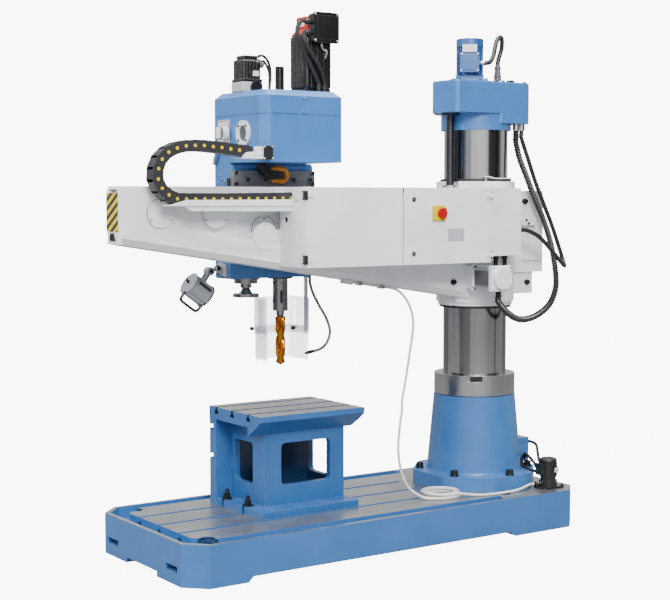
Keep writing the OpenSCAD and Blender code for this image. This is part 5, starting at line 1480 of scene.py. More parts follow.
@dataclass(frozen=True)
class Arm:
    """Arm casting with its covers, rails, end panel and clamp motor."""

    tip: float = -1063.0
    covers: tuple[Spot, ...] = ((-879, 1469, -128), (-623, 1466, -122), (-393, 1398, -126))
    clamp: Spot = (692.0, -345.0, 1109.0)

    def build(self) -> None:
        """Makes the arm's own pieces."""
        shell("arm_casting", 3.5, WHITE_ARM, "arm")
        share_out("arm_fittings", "arm", 1.2,
                  Share("arm_end_cap", WHITE, (-1100, -200, 1300), (-1040, 60, 1600)),
                  Share("hose_clips", PLATED, (90, -130, 1000), (260, -60, 1300)),
                  Share("hose_inlet", WHITE_PLATE, (20, -130, 1000), (89, -60, 1300)),
                  Share("hex_plug_rear", OXIDE, (1050, -130, 1500), (1100, -90, 1540)),
                  Share("hex_plug_low", OXIDE, (1080, -130, 1110), (1120, -80, 1150)),
                  Share("hex_plug_left", OXIDE, (600, -160, 1120), (650, -100, 1170)),
                  Share("arm_covers", WHITE))
        shell("guideways", 1.0, RAIL, "arm")
        shell("arm_seals", 1.0, RUBBER, "arm")
        paint(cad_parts["lift_nut"], TURNED)
        self.build_end_panel()
        self.build_cover_screws()
        self.build_oil_line()
        self.build_clamp_motor()

    def build_end_panel(self) -> None:
        """Striped panel on the arm's end, the small grey connector over it and the dark bracket under it."""
        x = self.tip
        dress(block("striped_panel", (x - 2.5, -122, 1399), (x + 1, -20, 1552), 0.6), STRIPES, "arm")
        dress(block("end_connector", (x - 9, -112, 1558), (x + 1, -72, 1567), 0.6), CONNECTOR, "arm")
        shape = ((-100, 1362), (-52, 1362), (-58, 1392), (-84, 1392))
        dress(plate("end_bracket", shape, (x - 5.0, 0, 0), Axis.X, 6), IRON, "arm")

    def build_cover_screws(self) -> None:
        """Three dark socket screws on each round cover, and a fine dark joint round it."""
        spots = [(u, y - 1.0, v) for x, z, y in self.covers for u, v in round_about((x, z), 50, (90, 210, 330))]
        dress(spread("cover_screws", cap_screw(8.4, 2.4, 12), spots, FRONT), OXIDE, "arm")
        rings = [sweep("joint", [mark(u, y + 0.2, v) for u, v in round_about((x, z), 60, range(0, 361, 6))], 0.0026, 1)
                 for x, z, y in self.covers]
        dress(join("cover_joints", rings), RUBBER, "arm")

    def build_oil_line(self) -> None:
        """Oil fitting on top of the sleeve, and its thin clear line round the column."""
        dress(turned("sleeve_oiler", (792, -160, 1610), UP, (
            (-6, 8), (6, 8), (7, 6), (14, 6), (15, 8), (20, 8), (22, 5)), 16, 0.4), PLATED, "arm")
        line = [(792, -160, 1626), (800, -166, 1632),
                *((x, y, 1623.5) for x, y in round_about((865, 0), 172, range(262, 341, 8))),
                (1034, -50, 1618), (1046, -46, 1606)]
        dress(hose("oil_line", line, 3, 0.005, 2), HOSE, "arm")

    def build_clamp_motor(self) -> None:
        """The clamp motor with tie rods, screws and end disc, and the lug and leads of the clamp housing."""
        body = join("clamp_motor_white", [block("clamp_flange", (-2, 151, -2), (118, 166, 118), 4.0, 3),
                                          block("clamp_body", (9, 40, 7), (107, 153, 109), 5.0, 3),
                                          block("clamp_face", (-1, 18, -1), (117, 44, 117), 5.0, 3)])
        barrel = block("clamp_barrel", (3, 50, 24), (14, 145, 92), 2.0)
        rib = block("rib", (0.5, 53, 25), (5, 56, 91), 0.6)
        barrel = join("clamp_barrel_ribbed", [barrel, *copies_of(rib, [shift(0, 6.4 * i, 0) for i in range(14)])])
        spots = [(x, 151, z) for x in (10, 106) for z in (10, 106)]
        corners = [(x, 18, z) for x in (9, 108) for z in (9, 108)]
        disc = turned("clamp_end_disc", (54, 20, 58), FRONT, (
            (0, 52), (18, 52), (22, 50), (23.4, 45), (22.6, 44), (22.6, 30), (23.2, 29), (23.2, 12), (22.4, 11),
            (22.4, 4), (23.6, 3)), 56, 0.3)
        rods = [turned("tie_rod", (1, 40, z), (0, 1, 0), ((0, 4.6), (1, 5.2), (112, 5.2), (113, 4.6)), 14)
                for z in (14, 102)]
        dress_placed(shift(*self.clamp), "arm", (body, WHITE, "clamp_motor"), (barrel, CONNECTOR), (disc, WHITE),
                     (spread("clamp_flange_screws", cap_screw(13, 8), spots, FRONT), OXIDE),
                     (spread("clamp_cover_screws", pan_screw(10, 4), corners, FRONT), PLATED),
                     (join("clamp_tie_rods", rods), PLATED))
        leads = [turned("lead", place, (0, 0, -1), ((0, 13), (14, 13), (15, 10), (44, 10)), 18, 0.5)
                 for place in ((812, -212, 1264), (872, -206, 1264))]
        dress(join("clamp_motor_leads", leads), RUBBER, "arm")
        dress(block("housing_lug", (1046, -142, 1402), (1126, -126, 1438), 3.0), WHITE, "arm")
        lug = ((1062, -142, 1428), (1076, -142, 1412))
        dress(spread("housing_lug_screws", cap_screw(12, 4), lug, FRONT), OXIDE, "arm")


@dataclass(frozen=True)
class Cabinet:
    """Electric cabinet with two doors, hinges, locks and the main switch."""

    left: float = -313.0
    right: float = 683.0
    front: float = -330.0
    bottom: float = 1243.0
    top: float = 1579.0

    def build(self) -> None:
        """Makes the cabinet."""
        share_out("cabinet_body", "arm", 1.2,
                  Share("duct_gland", PLASTIC, (885, -270, 1370), (910, -220, 1400)),
                  Share("duct_cable_stubs", RUBBER, (690, -290, 1240), (760, -230, 1262)),
                  Share("cabinet_shell", WHITE))
        shell("door_left", 1.2, WHITE)
        shell("door_right", 1.2, WHITE)
        hinges, left, right, front = [], self.left, self.right, self.front
        for z in (self.bottom + 15, self.top - 55):
            hinges.append(block("hinge", (left - 12, front - 11, z), (left + 2, front + 9, z + 38), 1.5))
            hinges.append(block("hinge", (right + 1, front - 1.5, z), (right + 3.5, front + 10, z + 38), 0.6))
        dress(join("cabinet_hinges_black", hinges), PLASTIC, "arm", "cabinet_hinges")
        shell("lock_upper", 0.5, PLATED)
        shell("lock_lower", 0.5, PLATED)
        shell("switch_plate", 1.0, YELLOW, "door_right")
        shell("switch_knob", 1.2, RED)
        self.build_plates()
        self.build_left_end()

    def build_plates(self) -> None:
        """Blank rating plate with its rivets, and the door's joint, catch and rubber seal."""
        y, low, high = self.front, self.bottom, self.top
        dress(block("rating_plate", (433, y - 0.8, 1341), (524, y + 0.5, 1398), 0.3), PLATE_GREY, "door_right")
        rivets = [(x, y - 0.8, z) for x in (438, 519) for z in (1346, 1393)]
        dress(spread("plate_rivets", pan_screw(4, 1.2), rivets, FRONT), PLATED, "door_right")
        dress(block("door_joint", (183.6, y - 0.5, low + 2), (186.6, y + 1, high - 3), 0.2), RUBBER, "door_right")
        dress(block("door_catch", (182, y - 1.5, high - 24), (188, y + 1, high - 6), 0.5), OXIDE, "door_right")
        dress(block("door_seal", (181, y + 12, low + 4), (189, y + 17.8, high - 6)), RUBBER, "arm")

    def build_left_end(self) -> None:
        """White plug and hinge screws on the cabinet's left end."""
        dress(turned("end_plug", (self.left, -262, 1532), LEFT, (
            (-2, 15), (0, 17), (3, 17), (6, 14), (7, 8), (7, 1)), 28, 0.4), WHITE_PLATE, "arm")
        spots = [(self.left - 0.2, -306 + dy, z + dz) for z in (self.bottom + 34, self.top - 36)
                 for dy, dz in ((4, 16), (14, 2), (4, -16))]
        dress(spread("hinge_screws", pan_screw(6, 2), spots, LEFT), OXIDE, "arm")


@dataclass(frozen=True)
class EnergyChain:
    """Energy chain in a tray: links with two side plates, two bars, and a yellow pin at each joint."""

    pitch: float = 41.0
    height: float = 48.0
    back: float = -220.0
    front: float = -160.0
    joints: tuple[tuple[int, int], ...] = (
        (-316, 1531), (-357, 1531), (-398, 1531), (-439, 1530), (-480, 1530), (-521, 1529), (-563, 1529),
        (-604, 1528), (-645, 1528), (-686, 1528), (-727, 1528), (-769, 1528), (-810, 1528), (-851, 1529),
        (-888, 1544), (-918, 1570), (-935, 1606), (-933, 1647), (-917, 1684), (-888, 1712), (-850, 1729),
        (-810, 1738), (-769, 1741), (-728, 1741), (-687, 1738), (-647, 1735), (-606, 1730), (-565, 1726),
        (-523, 1724))
    lower: int = 13
    loop: int = 7

    def link(self) -> tuple[Piece, Piece]:
        """One link along +X from its joint, outside of the bend up.

        Returns:
            The link and its two pins.
        """
        half, parts, pins = self.height / 2, [], []
        wide = [(23 * x, half * 0.99 * z) for x, z in round_about((0, 0), 1, range(90, 271, 20))]
        wide += [(15, -half * 0.99), (17.6, -half * 0.9), (17.6, half * 0.9), (15, half * 0.99)]
        narrow = [(self.pitch + 17 * x, half * 0.97 * z) for x, z in round_about((0, 0), 1, range(-90, 91, 22))]
        narrow += [(16.8, half * 0.97), (16.8, -half * 0.97)]
        for wide_y, narrow_y in ((self.back, self.back + 0.8), (self.front - 3.0, self.front - 3.8)):
            parts.append(plate("wide", wide, (0, wide_y, 0), Axis.Y, 3.0, 0.5))
            parts.append(plate("narrow", narrow, (0, narrow_y, 0), Axis.Y, 3.0, 0.4))
        for low, high in ((half - 5.5, half - 0.5), (-half + 0.5, -half + 5.5)):
            parts.append(block("bar", (-1.5, self.back + 2.5, low), (36.5, self.front - 2.5, high), 1.0))
        parts.append(block("bar_lip", (9, self.back + 16, half - 1), (20, self.front - 16, half + 0.6), 0.5))
        for y, way in ((self.back + 0.2, -1), (self.front - 0.2, 1)):
            pins.append(turned("pin", (0, y, 0), (0, way, 0), ((-1, 7.2), (0.9, 7.2), (1.5, 6.2)), 18))
        return join("link", parts), join("pins", pins)

    def build(self) -> None:
        """Lays the links along the chain and shares them among the two runs and the loop."""
        self.build_tray()
        link, pins = self.link()
        spots = [Vector((x, 0, z)) for x, z in self.joints]
        turn_back = self.lower + self.loop
        runs = {"chain_lower": range(self.lower), "chain_loop": range(self.lower, turn_back),
                "chain_upper": range(turn_back, len(spots) - 1)}
        for run, indices in runs.items():
            places = []
            for i in indices:
                way = (spots[i + 1] - spots[i]).normalized()
                turn = Matrix((way, (0, 1, 0), way.cross(Vector((0, 1, 0))))).transposed().to_4x4()
                places.append(Matrix.Translation(spots[i] * MM) @ turn)
            for name, master, finish in ((f"{run}_links", link, CHAIN), (f"{run}_pins", pins, YELLOW)):
                piece = join(name, [copy_to(master, place) for place in places])
                paint(piece, finish)
                if run == "chain_lower":
                    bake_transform(piece)
                elif run == "chain_upper":
                    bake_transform(piece)
                else:
                    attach(piece, "chain_loop")
                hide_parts(run)
                LOG.info("%s", name)
        for part in (link, pins):
            bpy.data.objects.remove(part)
        self.build_end()

    def build_tray(self) -> None:
        """The tray: floor, front lip that tapers to its free end, and the gusset and brackets under it."""
        floor = ((-908, -205), (-850, -226), (-314, -226), (-314, -129), (-870, -129))
        lip = ((-910, 1500), (-814, 1524), (-314, 1526), (-314, 1500))
        gusset = ((-826, 1501), (-790, 1480), (-314, 1477), (-314, 1501))
        parts = [plate("tray_floor", floor, (0, 0, 1500), Axis.Z, 3, 0.4),
                 plate("tray_lip", lip, (0, -229, 0), Axis.Y, 2.5, 0.4)]
        parts += [block("tray_foot", (x, -150, 1497), (x + 34, -127, 1500.5), 0.4) for x in (-740, -580, -420)]
        dress(join("chain_tray_white", parts), WHITE, "arm", "chain_tray")
        dress(plate("tray_gusset", gusset, (0, -222, 0), Axis.Y, 2.5, 0.3), WHITE, "arm")

    def build_end(self) -> None:
        """The chain's last narrow piece, its white bracket on the head and the black connector box."""
        dress(block("chain_end", (-530, -212, 1706), (-496, -168, 1742), 1.5), CHAIN, "head")
        shape = ((-557, 1700), (-536, 1718), (-499, 1721), (-499, 1742), (-455, 1744), (-455, 1692), (-545, 1696))
        sheet = [plate("bracket_sheet", shape, (0, -226, 0), Axis.Y, 3, 0.4),
                 block("bracket_shelf", (-555, -224, 1692), (-456, -160, 1696.5), 0.5),
                 block("bracket_foot", (-496, -224, 1696), (-452, -178, 1700), 0.5),
                 block("bracket_web", (-458, -224, 1694), (-454, -165, 1744), 0.5)]
        dress(join("chain_bracket_white", sheet), WHITE, "head")
        box = [block("connector_box", (-453, -226, 1690), (-407, -165, 1747), 2.0),
               block("connector_rim", (-449, -228, 1694), (-411, -225, 1743), 1.5)]
        dress(join("chain_connector_box", box), PLASTIC, "head")
        corners = [(x, -226, z) for x in (-448.5, -411.5) for z in (1694.5, 1742.5)]
        dress(spread("connector_bolts", pan_screw(8, 3.5), corners, FRONT), PLATED, "head")
        screws = [(x, -226, z) for x, z in ((-492, 1706), (-463, 1706), (-463, 1730))]
        dress(spread("bracket_screws", pan_screw(7, 2.5), screws, FRONT), OXIDE, "head")


@dataclass(frozen=True)
class Head:
    """Drill head castings with their fittings."""

    left: float = -424.0
    back: float = -178.0
    seam: float = 1885.0
    knob: Spot = (-461.0, 120.0, 1811.0)
    hook: Spot = (-192.0, 52.0, 1632.0)

    def build(self) -> None:
        """Makes the head."""
        for node, width in (("head_body", 3.0), ("head_gearbox", 3.0), ("head_cover", 2.5)):
            shell(node, width, BLUE, "head")
        share_out("saddle_plates", "head", 1.5,
                  Share("saddle_keepers", KEEPER, (-300, 0, 1300), (-100, 200, 1700)),
                  Share("saddle_screws", OXIDE))
        fittings = share_out(
            "head_fittings", "head", 1.0,
            Share("spindle_cap", BLACK, (-200, 120, 1985), (-80, 210, 2200)),
            Share("guard_rod", TURNED, (-40, 100, 900), (0, 140, 1100)),
            Share("rod_collar", PLATED, (-40, 100, 1150), (0, 140, 1200)),
            Share("spindle_flange", OXIDE, (-140, 150, 1150), (-110, 180, 1200)),
            Share("wheel_flange", SPINDLE, (-320, 150, 1140), (-290, 180, 1190)),
            Share("window_glass", GLASS, (-423, -30, 1790), (-400, 0, 1820)),
            Share("window_ring", WHITE_PLATE, (-440, -30, 1790), (-423.0001, 0, 1820)),
            Share("selector_plate", WHITE_PLATE, (-430, 140, 1800), (-420, 160, 1830)),
            Share("lamp_bracket", CAST_ALLOY, (-480, 120, 1180), (-420, 210, 1270)),
            Share("plain_bolt", PLATED, (-480, -195, 1725), (-465, -185, 1740)),
            Share("plain_hook", ORANGE, (-260, 30, 1560), (-140, 80, 1700)),
            Share("head_studs", PLATED))
        for name in ("plain_bolt", "plain_hook"):
            bpy.data.objects.remove(fittings[name])
        shell("selector_knob", 1.0, WHITE_PLATE)
        dress(turned("selector_face", self.knob, LEFT, ((0, 26), (1.5, 26), (2.5, 24)), 36, 0.3),
              CONNECTOR, "selector_knob")
        dress(block("selector_grip", (-478, 111, 1787), (-461, 129, 1835), 4.0, 3), WHITE_PLATE, "selector_knob")
        shell("feed_lever", 1.0, TURNED)
        shell("handwheel", 1.2, SPINDLE)
        pipe = marked((
            (-10, 106, 1181), (-11, 103, 1166), (-12, 100, 1150), (-1, 94, 1107), (28, 86, 1049), (54, 78, 1003),
            (69, 72, 964), (74, 68, 931), (64, 64, 900), (42, 60, 872), (9, 57, 855), (-31, 55, 848)))
        dress(ribbed("coolant_pipe", smooth_route(pipe, 6), 0.003, 0.0145, 0.9), CONNECTOR, "head", "coolant_nozzle")
        dress(turned("coolant_tip", (-27, 55, 849), (-47, -1, -8), (
            (0, 7.4), (10, 8.6), (24, 8.2), (40, 6), (44, 5)), 18, 0.3), DARK_STEEL, "head")
        self.build_screws()
        self.build_seam()
        self.build_selector_marks()
        self.build_hook()

    def build_screws(self) -> None:
        """Bolts and plugs of the cover, screws of window and keepers, studs, and the rail wiper."""
        left, back, seam = self.left, self.back, self.seam
        bolts = [(left + 198, back + 0.5, seam + z) for z in (68, 10)]
        dress(spread("cover_bolts", cap_screw(12, 7), bolts, FRONT), PLATED, "head")
        plugs = [turned("plug", (left + x, back + 7, seam + 66), FRONT, ((0, 5), (6.9, 5)), 18) for x in (110, 300)]
        dress(join("cover_plugs", plugs), BLUE, "head")
        window = [(left - 8.0, y, z) for y, z in round_about((-18, 1806), 43, (45, 135, 225, 315))]
        dress(spread("window_screws", cap_screw(11, 4), window, LEFT), OXIDE, "head")
        studs = [(left - 0.3, y, z) for y, z in ((180, 1631), (142, 1604), (202, 1601))]
        dress(spread("body_screws", cap_screw(9, 5), studs, LEFT), PLATED, "head")
        dress(block("rail_wiper", (left - 8, 98, 1584), (left + 1, 114, 1618), 1.5), RUBBER, "head")
        holes = [(x, 66.6, z) for x, z in ((-354, 1611), (-268, 1613), (-122, 1611), (-30, 1611), (-412, 1641),
                                           (-412, 1594), (-18, 1641), (-18, 1594))]
        dress(spread("keeper_screws", cap_screw(17, 3), holes, FRONT), OXIDE, "head")

    def build_selector_marks(self) -> None:
        """Red border and plain scale marks on the selector's white plate."""
        x, (y0, z0), (y1, z1), width = self.left - 2.6, (107.0, 1769.0), (198.0, 1865.0), 3
        border = [block("border", (x, *low), (x + 1.2, *high), 0.1) for low, high in (
            ((y0, z0), (y1, z0 + width)), ((y0, z1 - width), (y1, z1)), ((y0, z0), (y0 + width, z1)),
            ((y1 - width, z0), (y1, z1)))]
        dress(join("selector_border", border), RED, "head")
        tick = block("tick", (x, -1.2, 38), (x + 1.2, 1.2, 47), 0.1)
        middle = shift(0, *self.knob[1:])
        ticks = copies_of(tick, [middle @ spin(angle, "X") for angle in (-120, -90, -60, -30, 0)])
        dress(join("selector_ticks", ticks), PLASTIC, "head")

    def build_seam(self) -> None:
        """The dark gasket in the seam between the gearbox and its cover."""
        box = [vertex.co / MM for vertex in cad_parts["head_gearbox"].data.vertices]
        past, corner = 1.3, 34.3
        x0, y0, z = self.left - past, self.back - past, self.seam - 1.6
        x1, y1 = max(spot.x for spot in box) + past, max(spot.y for spot in box) + past
        outline = ((x0 + corner, y0), (x1, y0), (x1, y1), (x0, y1), (x0, y0 + corner))
        dress(plate("cover_gasket", outline, (0, 0, z), Axis.Z, 3.2, 0.3), BLUE_DARK, "head")

    def build_hook(self) -> None:
        """The orange cable hook: an open ring with two arms, its tongue and bolt, and the leads it carries."""
        ring = [(-62, 0, 22), (-36, 0, 28), (-12, 0, 27),
                *((x, 0, z) for x, z in round_about((0, 0), 27, range(70, -121, -20))), (-40, 0, -20), (-62, 0, -6)]
        tongue = ((-60, -4, -4), (-48, -4, -24), (-20, -4, -26), (-4, -2, -22))
        bolt = turned("hook_bolt", (-58, 22, 22), FRONT, ((-2, 8), (24, 8), (28, 7), (28, 4), (25, 3.5)), 18, 0.3)
        dress_placed(shift(*self.hook), "head", (hose("cable_hook", ring, 4, 0.022, 5), ORANGE),
                     (hose("hook_tongue", tongue, 5, 0.016), ORANGE), (bolt, ORANGE))
        for index, (dx, dz) in enumerate(((0, 0), (13, 4), (-6, -10)), 1):
            line = ((-306 + dx, 40, 1700), (-304 + dx, 38, 1676 + dz), (-288 + dx, 30, 1652 + dz),
                    (-254 + dx, 22, 1636 + dz), (-222 + dx / 2, 22, 1630 + dz), (-200, 34, 1631 + dz / 2),
                    (-190, 52, 1632 + dz / 2), (-186, 64, 1633 + dz / 2))
            dress(hose(f"hook_lead_{index}", line, 4, 0.012), RUBBER, "head")


@dataclass(frozen=True)
class Drives:
    """Main motor, its terminal box, the feed motor and their leads."""

    servo: Spot = (-97.0, -35.0, 1985.0)
    feed: Spot = (-352.0, 75.0, 1985.0)

    def build(self) -> None:
        """Makes the motors on top of the head."""
        self.build_main_motor()
        self.build_box()
        self.build_feed()

    def build_box(self) -> None:
        """The main motor's terminal box with its glands, screws, leads and elbow."""
        share_out("motor_box", "head", 1.5,
                  Share("box_glands", PLATED, (-200, -140, 2190), (-146, -100, 2330)),
                  Share("terminal_box", BLACK))
        paint(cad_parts["motor_cables"], RUBBER)
        for z in (88, 42):
            gland(f"motor_gland_{z}", (-159, -120, 2193 + z), LEFT, 17, PLASTIC, "head")
        corners = [(x, -107.5, z) for x in (-45, 69) for z in (217, 329)]
        feet = [(x, y, 16) for x in (-57, 53) for y in (-55, 55)]
        elbow = ((2, -84, 212), (2, -84, 194), (10, -84, 182), (24, -80, 180), (34, -74, 172), (32, -66, 152),
                 (28, -62, 142))
        dress_placed(shift(*self.servo), "head",
                     (block("box_lid_panel", (-38, -109.5, 222), (62, -106, 324), 3.0), BLACK),
                     (spread("box_screws", pan_screw(13, 5), corners, FRONT), PLATED),
                     (spread("servo_screws", cap_screw(12, 8), feet, UP), OXIDE),
                     (block("servo_plate", (30, -64.5, 34), (56, -60, 72), 0.4), WHITE_PLATE),
                     (hose("box_elbow", elbow, 4, 0.011), PLATED))

    def finned(self, name: str, half: float, low: float, high: float, rows: int) -> Piece:
        """A square motor barrel with rounded corners and upright fins on each side, in the motor's frame.

        Args:
            name: The barrel's name.
            half: Half of its width.
            low: The barrel's lower end over the motor's foot.
            high: Its upper end.
            rows: Fins on each side.

        Returns:
            The barrel.
        """
        body = block("barrel", (-half + 2.5, -half + 2.5, low), (half - 2.5, half - 2.5, high), half * 0.2, 5)
        pitch = 1.36 * half / rows
        fin = block("fin", (-pitch * 0.3, -half, low + 5), (pitch * 0.3, -half + 7, high - 8), 2.2, 3)
        return join(name, [body, *copies_of(fin, [spin(90 * quarter) @ shift((row - (rows - 1) / 2) * pitch, 0, 0)
                                                  for quarter in range(4) for row in range(rows)])])

    def build_main_motor(self) -> None:
        """The main motor: flange, finned barrel, red shoulder and red fan cap with a pale plate."""
        shoulder = turned("shoulder", (0, 0, 246), UP, ((0, 86), (3, 87), (24, 66), (26, 63)), 4, 1.5)
        shoulder.data.transform(spin(45))
        cap = join("main_fan_cap", [shoulder, block("fan_cap", (-46, -46, 268), (46, 46, 326), 7.0, 4)])
        dress_placed(shift(*self.servo), "head", (self.finned("main_barrel", 69, 14, 247, 3), BLACK, "main_motor"),
                     (block("main_flange", (-66, -64, 0), (62, 64, 16), 3.0), BLACK), (cap, RED_ENAMEL),
                     (block("fan_plate", (-47, -22, 284), (-45, 24, 312), 0.4), WHITE_PLATE))

    def build_feed(self) -> None:
        """The feed motor with its grey mount, black flange, connectors and blank plate."""
        crown = [block("feed_collar", (-49, -49, 42), (49, 49, 56), 4.0, 3),
                 block("feed_crown", (-34, -34, 137), (34, 34, 156), 5.0, 3)]
        disc = turned("feed_adapter", (14, -50, 20), FRONT, (
            (0, 28), (8, 28), (9, 26), (9, 20), (6, 19), (6, 1)), 36, 0.5)
        plug = turned("feed_connector", (40, -30, 118), RIGHT, (
            (-4, 14), (3, 14), (4, 12), (9, 12), (10, 13.5), (18, 13.5), (20, 10), (24, 8)), 22, 0.5)
        small = turned("feed_connector_small", (26, -40, 128), (0.5, -0.6, 0.35), (
            (-6, 9), (6, 9), (7, 10.5), (14, 10.5), (16, 7)), 20, 0.4)
        line = ((27, -42, 148), (40, -52, 156), (62, -56, 144), (80, -56, 112), (84, -56, 70), (80, -56, 30),
                (80, -56, -1))
        dress_placed(shift(*self.feed), "head",
                     (block("feed_mount", (-50, -50, 0), (50, 50, 43), 5.0, 3), CAST_ALLOY, "feed_servo"),
                     (self.finned("feed_barrel", 47, 46, 138, 4), BLACK), (join("feed_crown_black", crown), BLACK),
                     (disc, OXIDE), (block("feed_plate", (2, -48.5, 68), (32, -44.5, 90), 0.4), WHITE_PLATE),
                     (plug, CONNECTOR), (small, CONNECTOR), (hose("feed_encoder_lead", line, 5, 0.012, 3), RUBBER))


@dataclass(frozen=True)
class Spindle:
    """Quill, spindle, twist drill and the chip guard round them."""

    middle: Pair = (-129.0, 165.8)
    pin_angle: float = -23.0
    drill_radius: float = 22.0
    drill_tip: float = 783.0
    drill_point: float = 13.0
    drill_length: float = 205.0
    twist: float = 205.0
    guard_top: float = 1090.0

    def build(self) -> None:
        """Makes the tool end."""
        shell("quill", 0.8, TURNED)
        shell("spindle", 0.8, SPINDLE)
        # Painted shade: black pieces stand in for the dark inside of the quill's slot and of a hole above it
        slot_shade = block("spindle_slot_shade", (-6, -34.6, 1064), (6, -28, 1122), 2.0)
        pin = turned("spindle_hole_shade", (0, -30, 1154), FRONT, ((0, 6.5), (4.6, 6.5), (4.6, 5), (2, 4.5)), 18, 0.2)
        dress_placed(shift(*self.middle, 0) @ spin(self.pin_angle), "spindle", (slot_shade, RUBBER), (pin, RUBBER))
        self.build_drill()
        self.build_guard()

    def flute_radius(self, angle: float) -> float:
        """The radius of the drill's section at an angle, with a flute on each side."""
        off = abs((angle + 90) % 180 - 90)
        depth = 0.0 if off < 50 else 0.62 * math.sin(math.radians((off - 50) / 40 * 90)) ** 0.8
        return self.drill_radius * (1 - depth)

    def build_drill(self) -> None:
        """The twist drill: a two-flute section, drawn up and turned step by step, and its shank."""
        lay_down()
        count, steps, point_share = 48, 52, 0.05
        bpy.ops.mesh.primitive_circle_add(vertices=count, radius=1, fill_type="NGON", location=(0, 0, 0))
        obj = bpy.context.object
        obj.name = "drill_body"
        for i, vertex in enumerate(obj.data.vertices):
            angle = 360 * i / count
            spot, = round_about((0, 0), self.flute_radius(angle) * point_share, (angle,))
            vertex.co = mark(*spot, self.drill_tip)
        with whole_mesh():
            for step in range(steps + 1):
                height = self.drill_length / steps if step else self.drill_point
                bpy.ops.mesh.extrude_region_move(TRANSFORM_OT_translate={"value": (0, 0, height * MM)})
                bpy.ops.transform.rotate(value=-2 * math.pi * height / self.twist, orient_axis="Z",
                                         center_override=(0, 0, 0))
                ratio = 1 / point_share if step == 0 else 1.0 if step <= steps - 4 else 1.03 if step < steps else 0.97
                if ratio != 1.0:
                    bpy.ops.transform.resize(value=(ratio, ratio, 1))
        obj.data.transform(shift(*self.middle, 0))
        bpy.ops.object.shade_smooth_by_angle(angle=FLUTE_ANGLE)
        dress(obj, GOLD, "spindle", "twist_drill")
        dress(turned("drill_shank", (*self.middle, 998), UP, (
            (0, 12), (1, 14), (9, 14), (10, 17.5), (30, 17.8), (34, 16)), 32, 0.3), SPINDLE, "spindle")
        dress(turned("drill_neck", (*self.middle, 997), UP, ((0, 14.4), (1, 15), (9, 15), (10, 14.4))),
              OXIDE, "spindle")

    def build_guard(self) -> None:
        """The clear shield with its clamp on the rod, and the lower part with black knobs."""
        x, top = self.middle[0], self.guard_top
        share_out("guard_upper", "guard", 0.5,
                  Share("guard_clamp", CLEAR, (x + 96, 80, 900), (x + 140, 150, 1100)),
                  Share("guard_shield", CLEAR))
        share_out("guard_lower", "guard_lower", 0.5,
                  Share("guard_knobs", PLASTIC, (x - 130, 100, 940), (x - 92, 300, 970)),
                  Share("guard_knob_right", PLASTIC, (x + 92, 100, 940), (x + 130, 300, 970)),
                  Share("guard_shield_low", CLEAR))
        knobs = [turned("knob", place, way, ((-2, 5), (2, 5), (3, 9), (13, 9), (14, 7)), 20, 0.4)
                 for place, way in (((-242, 214, 950), LEFT), ((-122, 79, 958), FRONT))]
        dress(join("guard_knobs_black", knobs), RUBBER, "guard_lower")
        ticks = [block("tick", (x + 96.1, 103, top - 20 - 8 * i), (x + 96.9, 112, top - 18.8 - 8 * i), 0.1)
                 for i in range(16)]
        dress(join("guard_scale", ticks), PLASTIC, "guard")


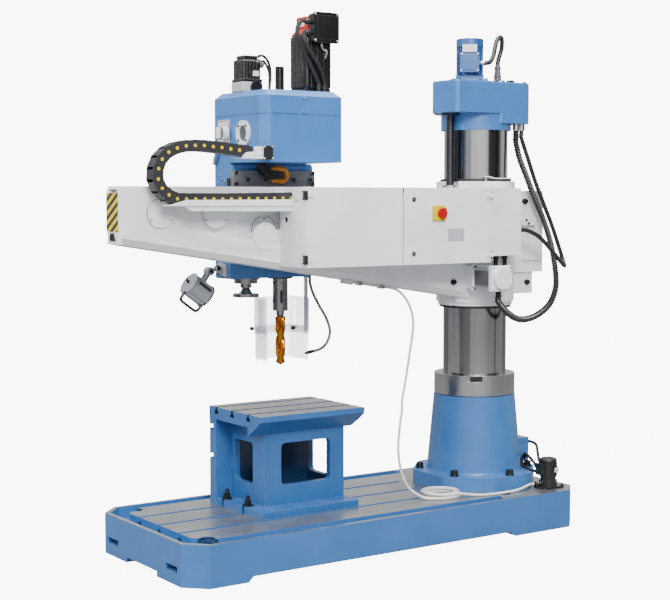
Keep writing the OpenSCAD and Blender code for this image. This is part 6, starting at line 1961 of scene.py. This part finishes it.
@dataclass(frozen=True)
class Lamp:
    """Work lamp on its two joints."""

    elbow: Spot = (-490.0, 172.0, 1215.0)
    tilt: float = 36.0
    drop: float = -98.0
    reach: float = 50.0

    def drum(self) -> Piece:
        """The lamp's drum with its cooling ribs, near end plate, fork, hub and foot.

        Returns:
            The drum, in the lamp's own frame.
        """
        z, reach, outline = self.drop, self.reach, []
        for i in range(60):
            radius = 44.5 if i % 10 > 7 else 51.0 if i % 2 else 47.0
            outline += round_about((0, z), radius, (6 * i,))
        parts = [plate("drum", outline, (-reach, 0, 0), Axis.X, 2 * reach, 0.4),
                 turned("near_plate", (-reach + 1, 0, z), LEFT, ((0, 53), (4, 53), (6, 50), (7, 20)), 48, 0.6),
                 *(block("fork", (-9, y - 4, -62), (9, y + 4, -10), 2.0) for y in (-12, 12)),
                 turned("hub", (0, 19, 0), FRONT, ((0, 17), (3, 19), (35, 19), (38, 17)), 32, 0.6),
                 block("fork_foot", (-16, -18, -60), (16, 18, -50), 3.0)]
        return join("lamp_drum", parts)

    def build(self) -> None:
        """Makes the lamp's arm, drum, end plates, glass, handle, switch and joint screws."""
        shell("lamp_arm", 1.0, ALLOY)
        z, reach, body = self.drop, self.reach, self.drum()
        rim = turned("lamp_rim", (reach - 1, 0, z), RIGHT, ((0, 54), (4, 54), (5, 52), (5, 44)), 48, 0.6)
        switch = block("lamp_switch", (-34, -54.5, z + 14), (34, -46, z + 26), 2.0)
        knob = [turned("knob", (-reach - 5, 0, z + 4), LEFT, ((0, 8), (5, 8), (6, 4), (16, 4), (17, 3)), 18, 0.4),
                turned("tongue", (-reach - 14, 0, z + 4), (-0.6, 0, 0.8), ((0, 3.4), (18, 2.6)), 12, 0.4)]
        wire = [(x, -18, z + dz) for x, dz in ((-54, -44), (-56, -66), (-54, -80), (-44, -86), (-10, -86), (26, -86),
                                               (38, -82), (44, -70), (48, -44))]
        handle = hose("lamp_handle", wire, 5, 0.013)
        pivots = spread("lamp_joint_screws", cap_screw(15, 5), [(0, -19, 0)], FRONT)
        glass = block("lamp_glass", (reach + 3, -40, z - 34), (reach + 5.5, 40, z + 34), 1.0)
        dress_placed(shift(*self.elbow) @ spin(self.tilt, "Y"), "lamp_head", (body, ALLOY, "lamp_head"), (rim, PLASTIC),
                     (switch, PLASTIC), (join("lamp_knob", knob), OXIDE), (handle, PLASTIC), (pivots, OXIDE),
                     (glass, GLASS))
        dress(spread("lamp_pivot_screw", cap_screw(16, 5), [(-448, 159, 1225)], FRONT), OXIDE, "head")
        bolts = [(-460.5, 142, 1238), (-460.5, 142, 1204)]
        dress(spread("lamp_bracket_screws", cap_screw(11, 4), bolts, LEFT), OXIDE, "head")


def main() -> None:
    """Builds the studio, the cables and then the machine from the floor up."""
    logging.basicConfig(level=logging.INFO, format="%(message)s")
    Shot().set_up()
    Studio().set_up()
    Coolant().build()
    Conduits().build()
    for assembly in (Base(), Column(), Arm(), Cabinet(), EnergyChain(), Head(), Drives(), Spindle(), Lamp()):
        LOG.info("Building %s", type(assembly).__name__)
        assembly.build()


if __name__ == "__main__":
    main()
